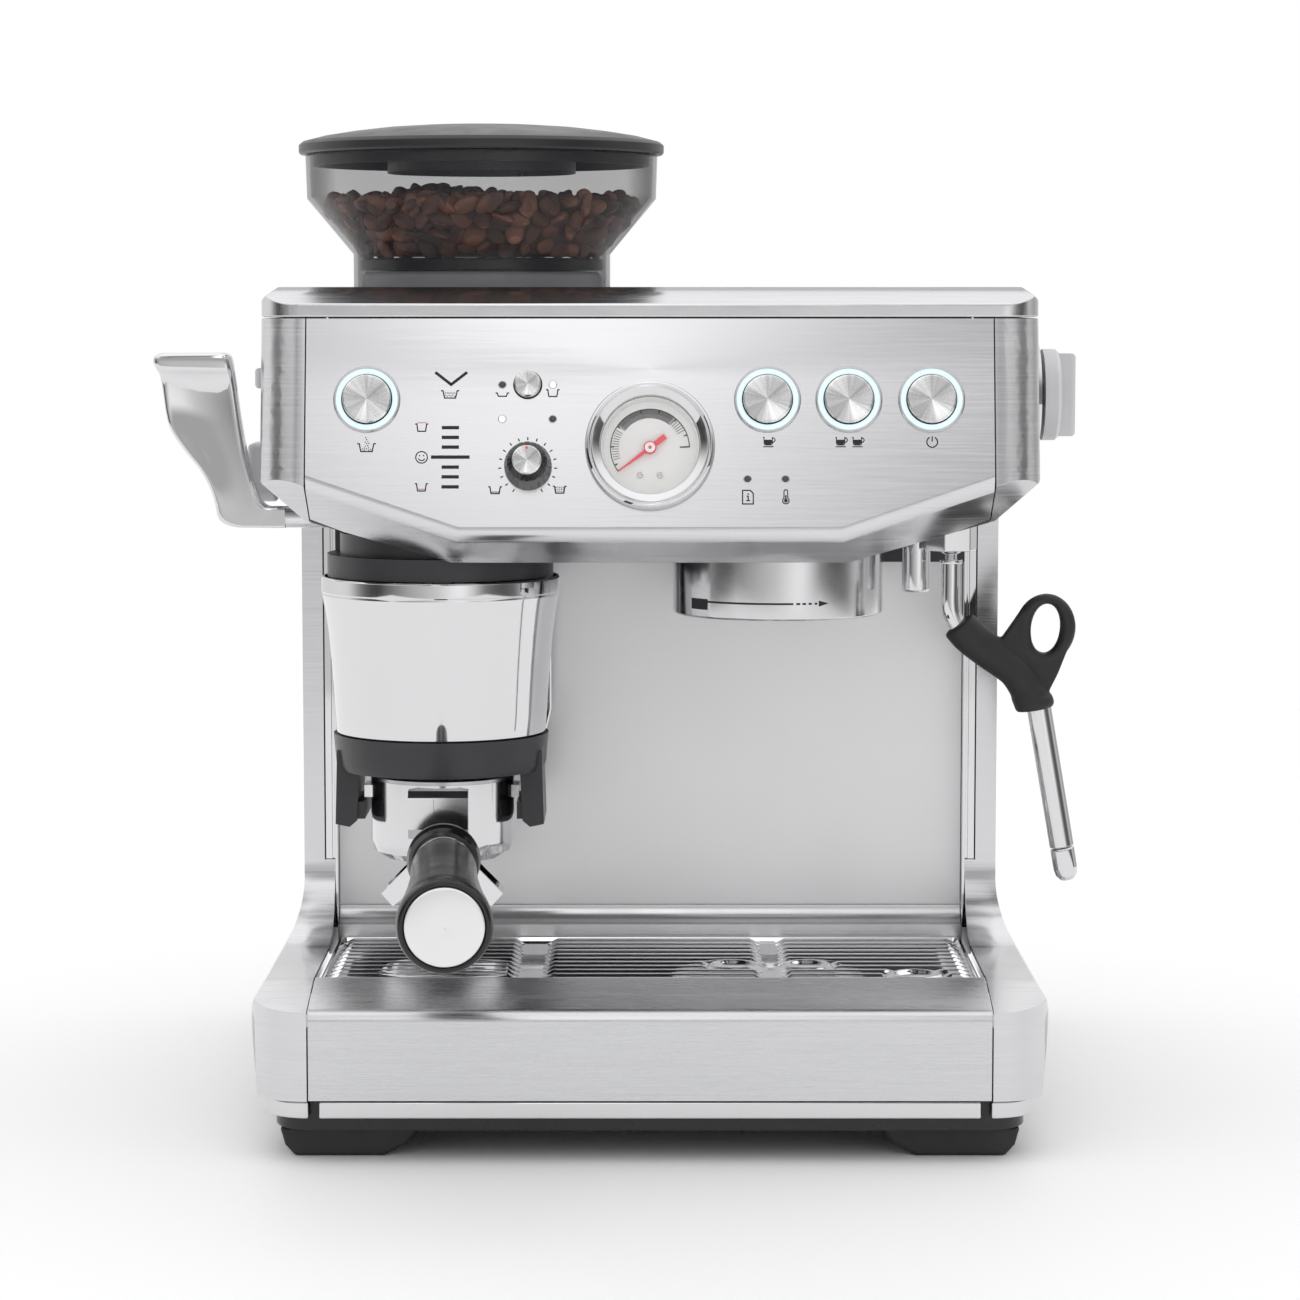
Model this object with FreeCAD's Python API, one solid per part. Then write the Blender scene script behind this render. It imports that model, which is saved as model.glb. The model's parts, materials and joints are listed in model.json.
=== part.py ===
import FreeCAD, Part
import math
import os

# Bean-to-cup espresso machine with a hopper, an assisted tamping lever, a steam wand
# and a removable drip tray.
# Millimetres, +Z up. Shapes are drawn in working axes whose x = 0 is the middle of the casing,
# y = 0 the front of the base (y grows to the back) and z = 0 the counter; export() then moves
# everything so that the origin is the bottom centre of the whole machine.
V = FreeCAD.Vector
ORIGIN_SHIFT = V(13.8, -102.2, 0)

# Casing
SHEET = 1.6
HEAD_HALF = 155.0
COLUMN_HALF = 149.4
BASE_HALF = 160.0
SEAM_X = 136.0
SEAM_GAP = 0.25
REAR_Y = 325.0
COLUMN_FRONT_Y = 140.0
HEAD_TOP_Z = 335.0
HEAD_BOTTOM_Z = 238.0
HEAD_SIDE_BOTTOM_Z = 254.0
BASE_BOTTOM_Z = 25.0
TRAY_TOP_Z = 68.5
FASCIA_SLOPE = 0.2
BACKSPLASH_HALF = 134.9
BACKSPLASH_Y = 150.0
COVE_FOOT_Z = 63.5

# Grinder and tamper, all beside the left of the machine
HOPPER_X = -70.5
HOPPER_Y = 118.0
COLLAR_R = 50.6
TAMP_X = -86.4
TAMP_Y = 78.0
LEVER_Z = 253.0
PINION_TEETH = 20
PINION_MODULE = 1.7
PINION_R = PINION_TEETH * PINION_MODULE / 2
BACKLASH = 0.45

# Brew group, spout and wand
GROUP_X = 52.7
GROUP_Y = 78.0
GROUP_R = 43.2
GROUP_BOTTOM_Z = 213.5
SPOUT_X = 109.0
SPOUT_Y = 68.0
WAND_X = 122.5
WAND_Y = 58.0
WAND_Z = 245.0
WAND_PIN_R = 1.5

# Portafilter
BOWL_X = -86.0
BOWL_R = 29.6
BOWL_TOP_Z = 146.5
HANDLE_START = V(-83.8, 42.0, 119.4)
HANDLE_END = V(-74.4, -122.0, 115.8)

# Controls on the sloping front: (x, z)
ROUND_BUTTONS = {
    "dose_button": (-111.6, 303.0),
    "one_cup_button": (46.3, 303.0),
    "two_cup_button": (78.4, 303.0),
    "power_button": (111.0, 303.0),
}
FILTER_BUTTON = (-48.2, 308.8)
DOSE_KNOB = (-48.0, 277.0)
GAUGE = (0.0, 284.9)
STEAM_DIAL_Y = 88.0
STEAM_DIAL_Z = 303.0
GRIND_DIAL_Y = 140.0
GRIND_DIAL_Z = 309.0

# Drip grid
GRILL_BACK_Y = 141.5
RIB_COUNT = 11
RIB_FIRST_Y = 43.4
RIB_PITCH = 9.25


# ---- helpers ----

def box(x0, x1, y0, y1, z0, z1):
    return Part.makeBox(x1 - x0, y1 - y0, z1 - z0, V(x0, y0, z0))


def cyl(base, axis, radius, length):
    return Part.makeCylinder(radius, length, base, axis)


def tube(base, axis, outer, inner, length):
    return cyl(base, axis, outer, length).cut(cyl(base, axis, inner, length))


def rod(start, end, radius):
    return cyl(start, end - start, radius, (end - start).Length)


def face_of(points):
    return Part.Face(Part.makePolygon(points + [points[0]]))


def prism_x(yz, x0, x1):
    return face_of([V(x0, y, z) for y, z in yz]).extrude(V(x1 - x0, 0, 0))


def prism_y(xz, y0, y1):
    return face_of([V(x, y0, z) for x, z in xz]).extrude(V(0, y1 - y0, 0))


def prism_z(xy, z0, z1):
    return face_of([V(x, y, z0) for x, y in xy]).extrude(V(0, 0, z1 - z0))


def turned(rz, x, y):
    """Closed ring or disc from a half profile of (radius, z) points round a vertical axis at x, y."""
    profile = face_of([V(r, 0, z) for r, z in rz])
    solid = profile.revolve(V(0, 0, 0), V(0, 0, 1), 360)
    return solid.translated(V(x, y, 0))


def turned_along(profile, start, direction):
    """Solid turned round the line from start along direction; profile holds (radius, distance) points."""
    solid = face_of([V(r, 0, s) for r, s in profile]).revolve(V(0, 0, 0), V(0, 0, 1), 360)
    solid.Placement = FreeCAD.Placement(start, FreeCAD.Rotation(V(0, 0, 1), direction))
    return solid


def joined(shapes):
    solid = shapes[0].multiFuse(shapes[1:]) if len(shapes) > 1 else shapes[0]
    return solid.removeSplitter()


def minus(shape, cutters):
    for cutter in cutters:
        shape = shape.cut(cutter)
    return shape


def mirrored(shape):
    return shape.mirror(V(0, 0, 0), V(1, 0, 0))


def rounded_plan(x0, x1, y0, y1, radius, z):
    """Plan face with round front corners and square back corners."""
    k = radius * (1 - math.sqrt(0.5))
    edges = [
        Part.makeLine(V(x0, y1, z), V(x0, y0 + radius, z)),
        Part.Arc(V(x0, y0 + radius, z), V(x0 + k, y0 + k, z), V(x0 + radius, y0, z)).toShape(),
        Part.makeLine(V(x0 + radius, y0, z), V(x1 - radius, y0, z)),
        Part.Arc(V(x1 - radius, y0, z), V(x1 - k, y0 + k, z), V(x1, y0 + radius, z)).toShape(),
        Part.makeLine(V(x1, y0 + radius, z), V(x1, y1, z)),
        Part.makeLine(V(x1, y1, z), V(x0, y1, z)),
    ]
    return Part.Face(Part.Wire(edges))


def half_space(point, normal):
    """Large block filling the side of a plane that the normal points to."""
    block = Part.makeBox(1400, 1400, 700, V(-700, -700, 0))
    block.Placement = FreeCAD.Placement(point, FreeCAD.Rotation(V(0, 0, 1), normal))
    return block


def fascia_y(z):
    return 8.0 + FASCIA_SLOPE * (z - 262.0)


FASCIA_OUT = V(0, -1, FASCIA_SLOPE).normalize()


def on_fascia(shape, x, z):
    """Moves a shape drawn with +Z outward and +Y up the slope onto the front at x, z."""
    placed = shape.copy()
    placed.Placement = FreeCAD.Placement(V(x, fascia_y(z), z), FreeCAD.Rotation(V(0, 0, 1), FASCIA_OUT))
    return placed


def export(name, shape):
    solids = shape.Solids
    body = solids[0] if len(solids) == 1 else Part.makeCompound(solids)
    body.translated(ORIGIN_SHIFT).exportStep("parts/" + name + ".step")
    b = body.BoundBox
    print(name, len(solids), [round(v, 1) for v in (b.XMin, b.XMax, b.YMin, b.YMax, b.ZMin, b.ZMax)])


# ---- casing volumes: the outside shape, drawn in by an inset for the inside of the sheet ----

def head_volume(inset):
    t = inset
    section = face_of([V(x, -40, z) for x, z in [
        (-HEAD_HALF, 271), (-138, HEAD_SIDE_BOTTOM_Z), (-79, HEAD_BOTTOM_Z), (79, HEAD_BOTTOM_Z),
        (138, HEAD_SIDE_BOTTOM_Z), (HEAD_HALF, 271), (HEAD_HALF, HEAD_TOP_Z + 10),
        (-HEAD_HALF, HEAD_TOP_Z + 10)]])
    if t > 0:
        section = section.makeOffset2D(-t, 2)
    bar = section.extrude(V(0, REAR_Y - t + 40, 0))
    y_low = fascia_y(200) + t
    plan = rounded_plan(-HEAD_HALF + t, HEAD_HALF - t, y_low, REAR_Y + 60, 16 - t, 200)
    bar = bar.common(plan.extrude(V(0, FASCIA_SLOPE * 200, 200)))
    creases = [(V(0, 5.4, 249), V(0, 11, 18.6)), (V(-76, 5.4, 249), V(416, 720, 1104)),
               (V(76, 5.4, 249), V(-416, 720, 1104))]
    for point, normal in creases:
        unit = V(normal).normalize()
        bar = bar.common(half_space(point + unit * t, unit))
    return bar


def flare_section(t):
    """Front view of the column and base side: straight column that swells out to the base."""
    column = COLUMN_HALF - t
    base = BASE_HALF - t
    low = 156.3 - t
    right = [
        Part.makeLine(V(column, -5, 262), V(column, -5, 96)),
        Part.Arc(V(column, -5, 96), V(151.2 - t, -5, 79), V(156 - t, -5, 67.2)).toShape(),
        Part.Arc(V(156 - t, -5, 67.2), V(159 - t, -5, 62.6), V(base, -5, 57)).toShape(),
        Part.makeLine(V(base, -5, 57), V(low, -5, BASE_BOTTOM_Z - 5)),
        Part.makeLine(V(low, -5, BASE_BOTTOM_Z - 5), V(0, -5, BASE_BOTTOM_Z - 5)),
        Part.makeLine(V(0, -5, BASE_BOTTOM_Z - 5), V(0, -5, 262)),
        Part.makeLine(V(0, -5, 262), V(column, -5, 262)),
    ]
    return Part.Face(Part.Wire(right))


def side_outline(t):
    """Side view of the column and base: upright column, hollow curve, flat top, sloping lip, front."""
    x = -200
    rear = REAR_Y - t
    column = COLUMN_FRONT_Y + t
    top = TRAY_TOP_Z - t
    low = BASE_BOTTOM_Z - 5
    edges = [
        Part.makeLine(V(x, rear, low), V(x, rear, 262)),
        Part.makeLine(V(x, rear, 262), V(x, column, 262)),
        Part.makeLine(V(x, column, 262), V(x, column, 100.5 - t)),
        Part.Arc(V(x, column, 100.5 - t), V(x, 130.6 + t, 77.9 - t), V(x, 108 + t, top)).toShape(),
        Part.makeLine(V(x, 108 + t, top), V(x, 35 + 0.2 * t, top)),
        Part.makeLine(V(x, 35 + 0.2 * t, top), V(x, t, 61 - 0.9 * t)),
        Part.makeLine(V(x, t, 61 - 0.9 * t), V(x, t, low)),
        Part.makeLine(V(x, t, low), V(x, rear, low)),
    ]
    return Part.Face(Part.Wire(edges))


def lower_volume(inset):
    half = flare_section(inset).extrude(V(0, REAR_Y + 20, 0))
    body = half.fuse(mirrored(half)).removeSplitter()
    body = body.common(side_outline(inset).extrude(V(400, 0, 0)))
    plan = rounded_plan(-BASE_HALF + inset, BASE_HALF - inset, inset, REAR_Y + 5, 22 - inset, 10)
    return body.common(plan.extrude(V(0, 0, 260)))


def casing_shell():
    outside = head_volume(0).fuse(lower_volume(0))
    inside = head_volume(SHEET).fuse(lower_volume(SHEET))
    return outside.cut(inside)


def lever_hole():
    return cyl(V(-180, TAMP_Y, LEVER_Z), V(1, 0, 0), 5.4, 70)


def side_panel(shell, side):
    """Formed side sheet: head cheek, column side and base side in one piece."""
    keep = box(-200, -SEAM_X - SEAM_GAP, -10, REAR_Y - 3.4, BASE_BOTTOM_Z + 0.2, HEAD_TOP_Z - SEAM_GAP)
    strip = box(-COLUMN_HALF + 8.8, -100, COLUMN_FRONT_Y - 1, 151, 101, 253)
    if side < 0:
        panel = minus(shell.common(keep), [strip, lever_hole()])
        hole = cyl(V(-170, GRIND_DIAL_Y, GRIND_DIAL_Z), V(1, 0, 0), 5.0, 40)
    else:
        panel = minus(shell.common(mirrored(keep)), [mirrored(strip)])
        hole = cyl(V(130, STEAM_DIAL_Y, STEAM_DIAL_Z), V(1, 0, 0), 5.0, 40)
    return panel.cut(hole)


def front_fascia(shell):
    """Brushed control panel with the turned-under chin and holes for every control."""
    keep = box(-SEAM_X + SEAM_GAP, SEAM_X - SEAM_GAP, -10, 31, 230, HEAD_TOP_Z - SEAM_GAP)
    panel = shell.common(keep)
    holes = [on_fascia(cyl(V(0, 0, -10), V(0, 0, 1), 12.4, 20), x, z) for x, z in ROUND_BUTTONS.values()]
    holes.append(on_fascia(cyl(V(0, 0, -10), V(0, 0, 1), 5.75, 20), *FILTER_BUTTON))
    holes.append(on_fascia(cyl(V(0, 0, -10), V(0, 0, 1), 3.5, 20), *DOSE_KNOB))
    holes.append(on_fascia(cyl(V(0, 0, -10), V(0, 0, 1), 22.1, 20), *GAUGE))
    for x, z, r in indicator_spots():
        holes.append(on_fascia(cyl(V(0, 0, -10), V(0, 0, 1), r, 20), x, z))
    return minus(panel, holes)


def head_underpan(shell):
    """Plastic underside of the head with openings for the group, spout, wand and tamping neck."""
    keep = box(-SEAM_X + SEAM_GAP, SEAM_X - SEAM_GAP, 31.3, BACKSPLASH_Y + 2, 230, 262)
    pan = shell.common(keep)
    holes = [
        cyl(V(GROUP_X, GROUP_Y, 200), V(0, 0, 1), GROUP_R + 0.2, 80),
        cyl(V(SPOUT_X, SPOUT_Y, 200), V(0, 0, 1), 6.2, 80),
        cyl(V(WAND_X, WAND_Y, 200), V(0, 0, 1), 11.2, 80),
        cyl(V(TAMP_X, TAMP_Y, 200), V(0, 0, 1), 41.2, 80),
        lever_hole(),
        box(-200, 200, COLUMN_FRONT_Y - 0.3, 160, 200, 262).cut(
            box(-BACKSPLASH_HALF, BACKSPLASH_HALF, 130, 160, 200, 262)),
    ]
    return minus(pan, holes)


def top_cover():
    """Lid of the head with a raised rim, a cup-warming well, the hopper hole and the tank opening."""
    def block(t, z_low):
        side = prism_x([(22.8 + t, z_low), (REAR_Y - t, z_low), (REAR_Y - t, 347.6 - t),
                        (39, 347.2 - t), (22.8 + t, 340.5 - t)], -HEAD_HALF + t, HEAD_HALF - t)
        front = prism_y([(-HEAD_HALF + t, z_low), (HEAD_HALF - t, z_low), (HEAD_HALF - t, 342 - t),
                         (148 - t, 347.6 - t), (-148 + t, 347.6 - t), (-HEAD_HALF + t, 342 - t)], 0, 400)
        plan = rounded_plan(-HEAD_HALF + t, HEAD_HALF - t, 22.8 + t, REAR_Y + 5, 16 - t, 300)
        return side.common(front).common(plan.extrude(V(0, 0, 80)))

    cover = block(0, HEAD_TOP_Z + SEAM_GAP).cut(block(2.4, HEAD_TOP_Z - 1))
    cover = cover.fuse(box(-129.5, 129.5, 41.5, 234.5, 339, 347.2))
    cover = cover.fuse(box(-108, 108, 236, REAR_Y - 1, 336, 347.2))
    cover = minus(cover, [
        box(-127, 127, 44, 232, 341.4, 360),
        cyl(V(HOPPER_X, HOPPER_Y, 330), V(0, 0, 1), COLLAR_R + 0.3, 40),
        box(-104, 104, 240.5, 319.5, 330, 360),
    ])
    return cover.removeSplitter()


def rear_cover():
    """Flat back sheet, flared at its foot like the sides, with vent slots and a cord inlet mouth."""
    plate = box(-HEAD_HALF + 2, HEAD_HALF - 2, REAR_Y - 3.2, REAR_Y - 0.2, 272, HEAD_TOP_Z - 0.3)
    plate = plate.fuse(box(-COLUMN_HALF + 2, COLUMN_HALF - 2, REAR_Y - 3.2, REAR_Y - 0.2, 250, 272.5))
    half = flare_section(2).extrude(V(0, 3, 0)).translated(V(0, REAR_Y + 1.8, 0))
    foot = half.fuse(mirrored(half)).common(box(-200, 200, REAR_Y - 5, REAR_Y, 27, 262))
    plate = plate.fuse(foot)
    slots = []
    for row in range(7):
        for column in (-1, 1):
            x = 92 * column
            slots.append(box(x - 24, x + 24, REAR_Y - 8, REAR_Y + 2, 120 + 10 * row, 123 + 10 * row))
    slots.append(cyl(V(-118, REAR_Y - 10, 46), V(0, 1, 0), 7.2, 20))
    return minus(plate, slots).removeSplitter()


def case_screws():
    """Pan-head screws that hold the back sheet."""
    screws = []
    for x in (-138, 138):
        for z in (42, 180, 322):
            head = cyl(V(x, REAR_Y - 0.2, z), V(0, 1, 0), 3.4, 1.6)
            slot = box(x - 2.4, x + 2.4, REAR_Y + 0.7, REAR_Y + 2, z - 0.45, z + 0.45)
            screws.append(head.cut(slot))
    return Part.makeCompound(screws)


def cord_gland():
    body = cyl(V(-118, REAR_Y - 9, 46), V(0, 1, 0), 7.0, 9.6)
    flange = cyl(V(-118, REAR_Y - 0.2, 46), V(0, 1, 0), 9.5, 2.2)
    return body.fuse(flange).cut(cyl(V(-118, REAR_Y - 12, 46), V(0, 1, 0), 3.6, 20)).removeSplitter()


def base_housing():
    """Moulded pan under the machine that carries the feet."""
    outer = rounded_plan(-150.6, 150.6, 6.0, 320, 17.4, 12).extrude(V(0, 0, 12.8))
    inner = rounded_plan(-147.6, 147.6, 9, 317, 14.4, 15).extrude(V(0, 0, 20))
    return outer.cut(inner)


def rubber_feet():
    profile = [(-148.6, 12), (-92, 12), (-98, 4.5), (-107, 0), (-142.5, 0), (-146.5, 4.5)]
    feet = []
    for y0, y1 in ((14, 58), (268, 312)):
        foot = prism_y(profile, y0, y1)
        feet.append(foot)
        feet.append(mirrored(foot))
    return Part.makeCompound(feet)


def base_trim():
    """Polished strip under the front of the base: a centre length and two corner pieces."""
    outer = rounded_plan(-155.4, 155.4, 1.2, 90, 20, 18).extrude(V(0, 0, 6.8))
    inner = rounded_plan(-151.2, 151.2, 5.2, 95, 17.8, 17).extrude(V(0, 0, 9))
    ring = outer.cut(inner)
    gaps = [box(131.6, 135.8, -5, 30, 10, 30), box(-135.8, -131.6, -5, 30, 10, 30)]
    return minus(ring, gaps)


def backsplash():
    """Mirror-bright sheet behind the cups on a backing sheet that also carries its edge strips."""
    face = box(-BACKSPLASH_HALF, BACKSPLASH_HALF, BACKSPLASH_Y, BACKSPLASH_Y + 1.2,
               80.2, HEAD_BOTTOM_Z - 0.3)
    backing = box(-140.2, 140.2, BACKSPLASH_Y + 1.2, BACKSPLASH_Y + 2, 71, HEAD_BOTTOM_Z - 0.3)
    return face.fuse(backing)


def backsplash_cove():
    """Polished hollow strip along the foot of the backsplash."""
    edges = [
        Part.makeLine(V(0, 151.2, 79.6), V(0, 149.6, 79.6)),
        Part.Arc(V(0, 149.6, 79.6), V(0, 147.4, 74.4), V(0, 142.2, 72.2)).toShape(),
        Part.makeLine(V(0, 142.2, 72.2), V(0, 142.2, COVE_FOOT_Z)),
        Part.makeLine(V(0, 142.2, COVE_FOOT_Z), V(0, 151.2, COVE_FOOT_Z)),
        Part.makeLine(V(0, 151.2, COVE_FOOT_Z), V(0, 151.2, 79.6)),
    ]
    strip = Part.Face(Part.Wire(edges)).extrude(V(2 * BACKSPLASH_HALF, 0, 0))
    return strip.translated(V(-BACKSPLASH_HALF, 0, 0))


def column_trims():
    """Polished upright strips either side of the backsplash."""
    strip = box(-140.2, -135.1, 141.8, 151.2, 71, 252.8)
    groove = box(-137.4, -136.4, 141, 142.6, 70, 260)
    strip = strip.cut(groove)
    return [strip, mirrored(strip)]


def chassis():
    """Inner frame: upright wall in front of the tank, floor rails and a cross tie under the head."""
    wall = box(-143, 143, 234, 236, 16, 334)
    rails = [box(x - 4, x + 4, 152.3, 234, 15, 24) for x in (-120, 120)]
    tie = box(-133, 133, 158, 162, 24, 30)
    posts = [box(x - 4, x + 4, 158, 162, 24, 236) for x in (-129, 129)]
    return joined([wall, tie] + rails + posts)


# ---- controls ----

def indicator_spots():
    """(x, z, radius) of the small indicator windows on the front."""
    spots = [(-58.2, 308.8, 1.3), (-38.3, 308.8, 1.3), (-58.2, 295.4, 1.3), (-38.3, 295.4, 1.3)]
    spots += [(38.4, 272.0, 1.3), (53.3, 272.0, 1.3)]
    return spots


def indicator_lights():
    lenses = [on_fascia(cyl(V(0, 0, -3), V(0, 0, 1), r - 0.05, 3.3), x, z) for x, z, r in indicator_spots()]
    return Part.makeCompound(lenses)


def button_rings():
    """Light ring and raised outer lip round each of the four round buttons."""
    profile = [(10.15, -3.0), (12.3, -3.0), (12.3, 0), (13.2, 0), (13.2, 0.5),
               (12.7, 1.3), (12.3, 1.3), (11.9, 0.8),
               (10.15, 0.8)]
    rings = [on_fascia(turned(profile, 0, 0), x, z) for x, z in ROUND_BUTTONS.values()]
    return Part.makeCompound(rings)


def round_button(x, z):
    profile = [(0, -6), (7.0, -6), (7.0, -4), (9.7, -4), (9.7, 2.6), (9.2, 3.2), (8.6, 3.2), (0, 2.2)]
    return on_fascia(turned(profile, 0, 0), x, z)


def filter_button():
    profile = [(0, -6), (5.3, -6), (5.3, 3.4), (4.8, 4.0), (4.4, 4.0), (0, 3.3)]
    return on_fascia(turned(profile, 0, 0), *FILTER_BUTTON)


def dose_knob():
    """Fluted skirt with a raised metal cap on a spindle."""
    profile = [(0, -9), (3.0, -9), (3.0, 0.5), (9.4, 0.5), (9.4, 2.5), (7.9, 12),
               (6.3, 15.0), (5.7, 17.5), (0, 17.2)]
    knob = turned(profile, 0, 0)
    flutes = []
    for k in range(16):
        a = 2 * math.pi * k / 16
        flutes.append(cyl(V(9.6 * math.cos(a), 9.6 * math.sin(a), 3.0), V(0, 0, 1), 0.8, 12))
    return on_fascia(minus(knob, flutes), *DOSE_KNOB)


def gauge_bezel():
    profile = [(19.6, -8), (21.9, -8), (21.9, 0), (25.6, 0), (25.6, 3.6), (24.0, 6.0),
               (21.4, 6.6), (20.4, 5.4), (19.6, 3.4)]
    return on_fascia(turned(profile, 0, 0), *GAUGE)


def gauge_dial():
    plate = cyl(V(0, 0, -7.4), V(0, 0, 1), 19.5, 1.4)
    return on_fascia(plate.cut(cyl(V(0, 0, -9), V(0, 0, 1), 1.4, 5)), *GAUGE)


def gauge_glass():
    return on_fascia(cyl(V(0, 0, 1.4), V(0, 0, 1), 19.5, 1.4), *GAUGE)


def gauge_needle():
    """Pointer with a counterweight tail on a round hub, at rest at the low end of the scale."""
    blade = prism_z([(-15.0, -0.25), (-15.0, 0.25), (0, 0.85), (0, -0.85)], -4.9, -4.1)
    tail = prism_z([(0, -0.75), (0, 0.75), (5.5, 1.15), (5.5, -1.15)], -4.9, -4.1)
    hub = cyl(V(0, 0, -5.3), V(0, 0, 1), 2.2, 2.2)
    pin = cyl(V(0, 0, -8.4), V(0, 0, 1), 1.0, 3.3)
    needle = joined([blade, tail, hub, pin])
    needle.rotate(V(0, 0, 0), V(0, 0, 1), 37)
    return on_fascia(needle, *GAUGE)


def steam_dial_bezel():
    profile = [(5.0, 0.1), (22.5, 0.1), (22.5, 3.0), (21.0, 5.0), (5.0, 5.0)]
    return turned_along(profile, V(HEAD_HALF, STEAM_DIAL_Y, STEAM_DIAL_Z), V(1, 0, 0))


def steam_dial():
    """Round knob with a raised grip bar, on a spindle through the side."""
    start = V(HEAD_HALF, STEAM_DIAL_Y, STEAM_DIAL_Z)
    disc = turned_along([(0, 6.7), (18.8, 6.7), (18.8, 12), (17.6, 13.4), (0, 13.4)], start, V(1, 0, 0))
    bar = box(HEAD_HALF + 13, HEAD_HALF + 20.5, STEAM_DIAL_Y - 4.5, STEAM_DIAL_Y + 4.5,
              STEAM_DIAL_Z - 17, STEAM_DIAL_Z + 17)
    spindle = cyl(V(HEAD_HALF - 18, STEAM_DIAL_Y, STEAM_DIAL_Z), V(1, 0, 0), 4.5, 25)
    bar = bar.makeFillet(2.0, [e for e in bar.Edges if e.BoundBox.XMin > HEAD_HALF + 20])
    return joined([disc, bar, spindle])


def grind_size_dial():
    start = V(-HEAD_HALF, GRIND_DIAL_Y, GRIND_DIAL_Z)
    disc = turned_along([(0, 0.6), (22, 0.6), (22, 3.4), (20.8, 4.6), (0, 4.6)], start, V(-1, 0, 0))
    bar = box(-HEAD_HALF - 12.0, -HEAD_HALF - 4, GRIND_DIAL_Y - 18, GRIND_DIAL_Y + 18,
              GRIND_DIAL_Z - 4.3, GRIND_DIAL_Z + 4.3)
    bar = bar.makeFillet(2.0, [e for e in bar.Edges if e.BoundBox.XMax < -HEAD_HALF - 11])
    spindle = cyl(V(-HEAD_HALF - 1, GRIND_DIAL_Y, GRIND_DIAL_Z), V(1, 0, 0), 4.5, 20)
    return joined([disc, bar, spindle])


# ---- hopper and grinder ----
def hopper_body():
    """Clear funnel with a tall rim and a neck that sits over the grinder collar."""
    outer = [(53.8, 342.0), (53.8, 361), (73.0, 384), (73.6, 401.8)]
    inner = [(71.2, 401.8), (70.6, 385), (51.3, 362), (51.3, 342.0)]
    return turned(outer + inner, HOPPER_X, HOPPER_Y)


def hopper_gate():
    """Shut-off plate across the neck of the hopper."""
    ring = turned([(14, 354.2), (51.0, 354.2), (51.0, 358.4), (14, 358.4)], HOPPER_X, HOPPER_Y)
    return ring


def coffee_beans():
    profile = [(0, 359.2), (49.5, 359.2), (49.8, 361.8), (66.0, 381.8), (66.0, 384.0), (52, 388.5),
               (28, 391.0), (0, 392.0)]
    return turned(profile, HOPPER_X, HOPPER_Y)


def hopper_lid():
    """Domed lid with a rim lip and an inner locating ring."""
    profile = [(0, 411.2), (60, 409.0), (68.4, 406.6), (68.4, 397.5), (70.4, 397.5), (70.4, 402.3),
               (75.6, 402.3), (76.3, 403.2), (76.3, 406.4), (74.5, 407.8), (55, 411.6), (28, 414.1), (0, 414.8)]
    return turned(profile, HOPPER_X, HOPPER_Y)


def grinder_housing():
    """Barrel that carries the hopper collar, the fixed burr seat and the motor can."""
    barrel = turned([(20.5, 290), (46, 290), (46, 336), (COLLAR_R, 336), (COLLAR_R, 353.8), (47.5, 353.8),
                     (43.5, 338), (31.5, 330), (31.5, 300), (20.5, 300)], HOPPER_X, HOPPER_Y)
    return barrel


def cone_burr():
    """Rotating cone burr with slanting flutes and its drive shaft."""
    cone = turned([(0, 286), (5, 286), (5, 302), (20, 303), (21.4, 306), (14, 324), (5, 330), (0, 330)],
                  HOPPER_X, HOPPER_Y)
    flutes = []
    for k in range(12):
        a = 2 * math.pi * k / 12
        p0 = V(HOPPER_X + 21.5 * math.cos(a), HOPPER_Y + 21.5 * math.sin(a), 306)
        p1 = V(HOPPER_X + 10.5 * math.cos(a + 0.5), HOPPER_Y + 10.5 * math.sin(a + 0.5), 328)
        flutes.append(rod(p0, p1, 1.1))
    return minus(cone, flutes)


# ---- tamping ----

def tamp_shroud():
    """Polished skirt round the tamper: a stepped band above a slightly tapered wall."""
    outer = [(42.6, 164.4), (44.0, 164.4), (45.0, 176), (47.2, 205), (48.3, 221.5),
             (49.2, 222.5), (49.2, 229.2)]
    inner = [(47.4, 229.2), (47.4, 224), (46.5, 221.5), (45.4, 205), (43.2, 176), (42.2, 166)]
    return turned(outer + inner, TAMP_X, TAMP_Y)


def tamp_neck():
    """Dark neck between the head and the skirt."""
    profile = [(39.0, 229.4), (46.5, 229.4), (46.5, 238.4), (41.2, 238.4), (41.2, 247.0), (39.0, 247.0)]
    neck = turned(profile, TAMP_X, TAMP_Y)
    return neck.cut(lever_hole())


def shroud_backplate():
    """Dark plate behind the skirt with a bright edge that curves in at the foot."""
    outline = [(-131, 237.6), (-44, 237.6), (-44, 168), (-46.5, 158), (-53, 150.5), (-118, 150.5),
               (-126, 158), (-131, 168)]
    return prism_y(outline, TAMP_Y + 50, TAMP_Y + 56)


def backplate_edge():
    """Bright bead along the right edge of the backplate."""
    outline = [(-43.8, 237.6), (-42.0, 237.6), (-42.0, 168), (-44.6, 156.6), (-52.4, 148.6), (-53, 150.2),
               (-46.3, 157.6), (-43.8, 168)]
    return prism_y(outline, TAMP_Y + 49, TAMP_Y + 57)


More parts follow.
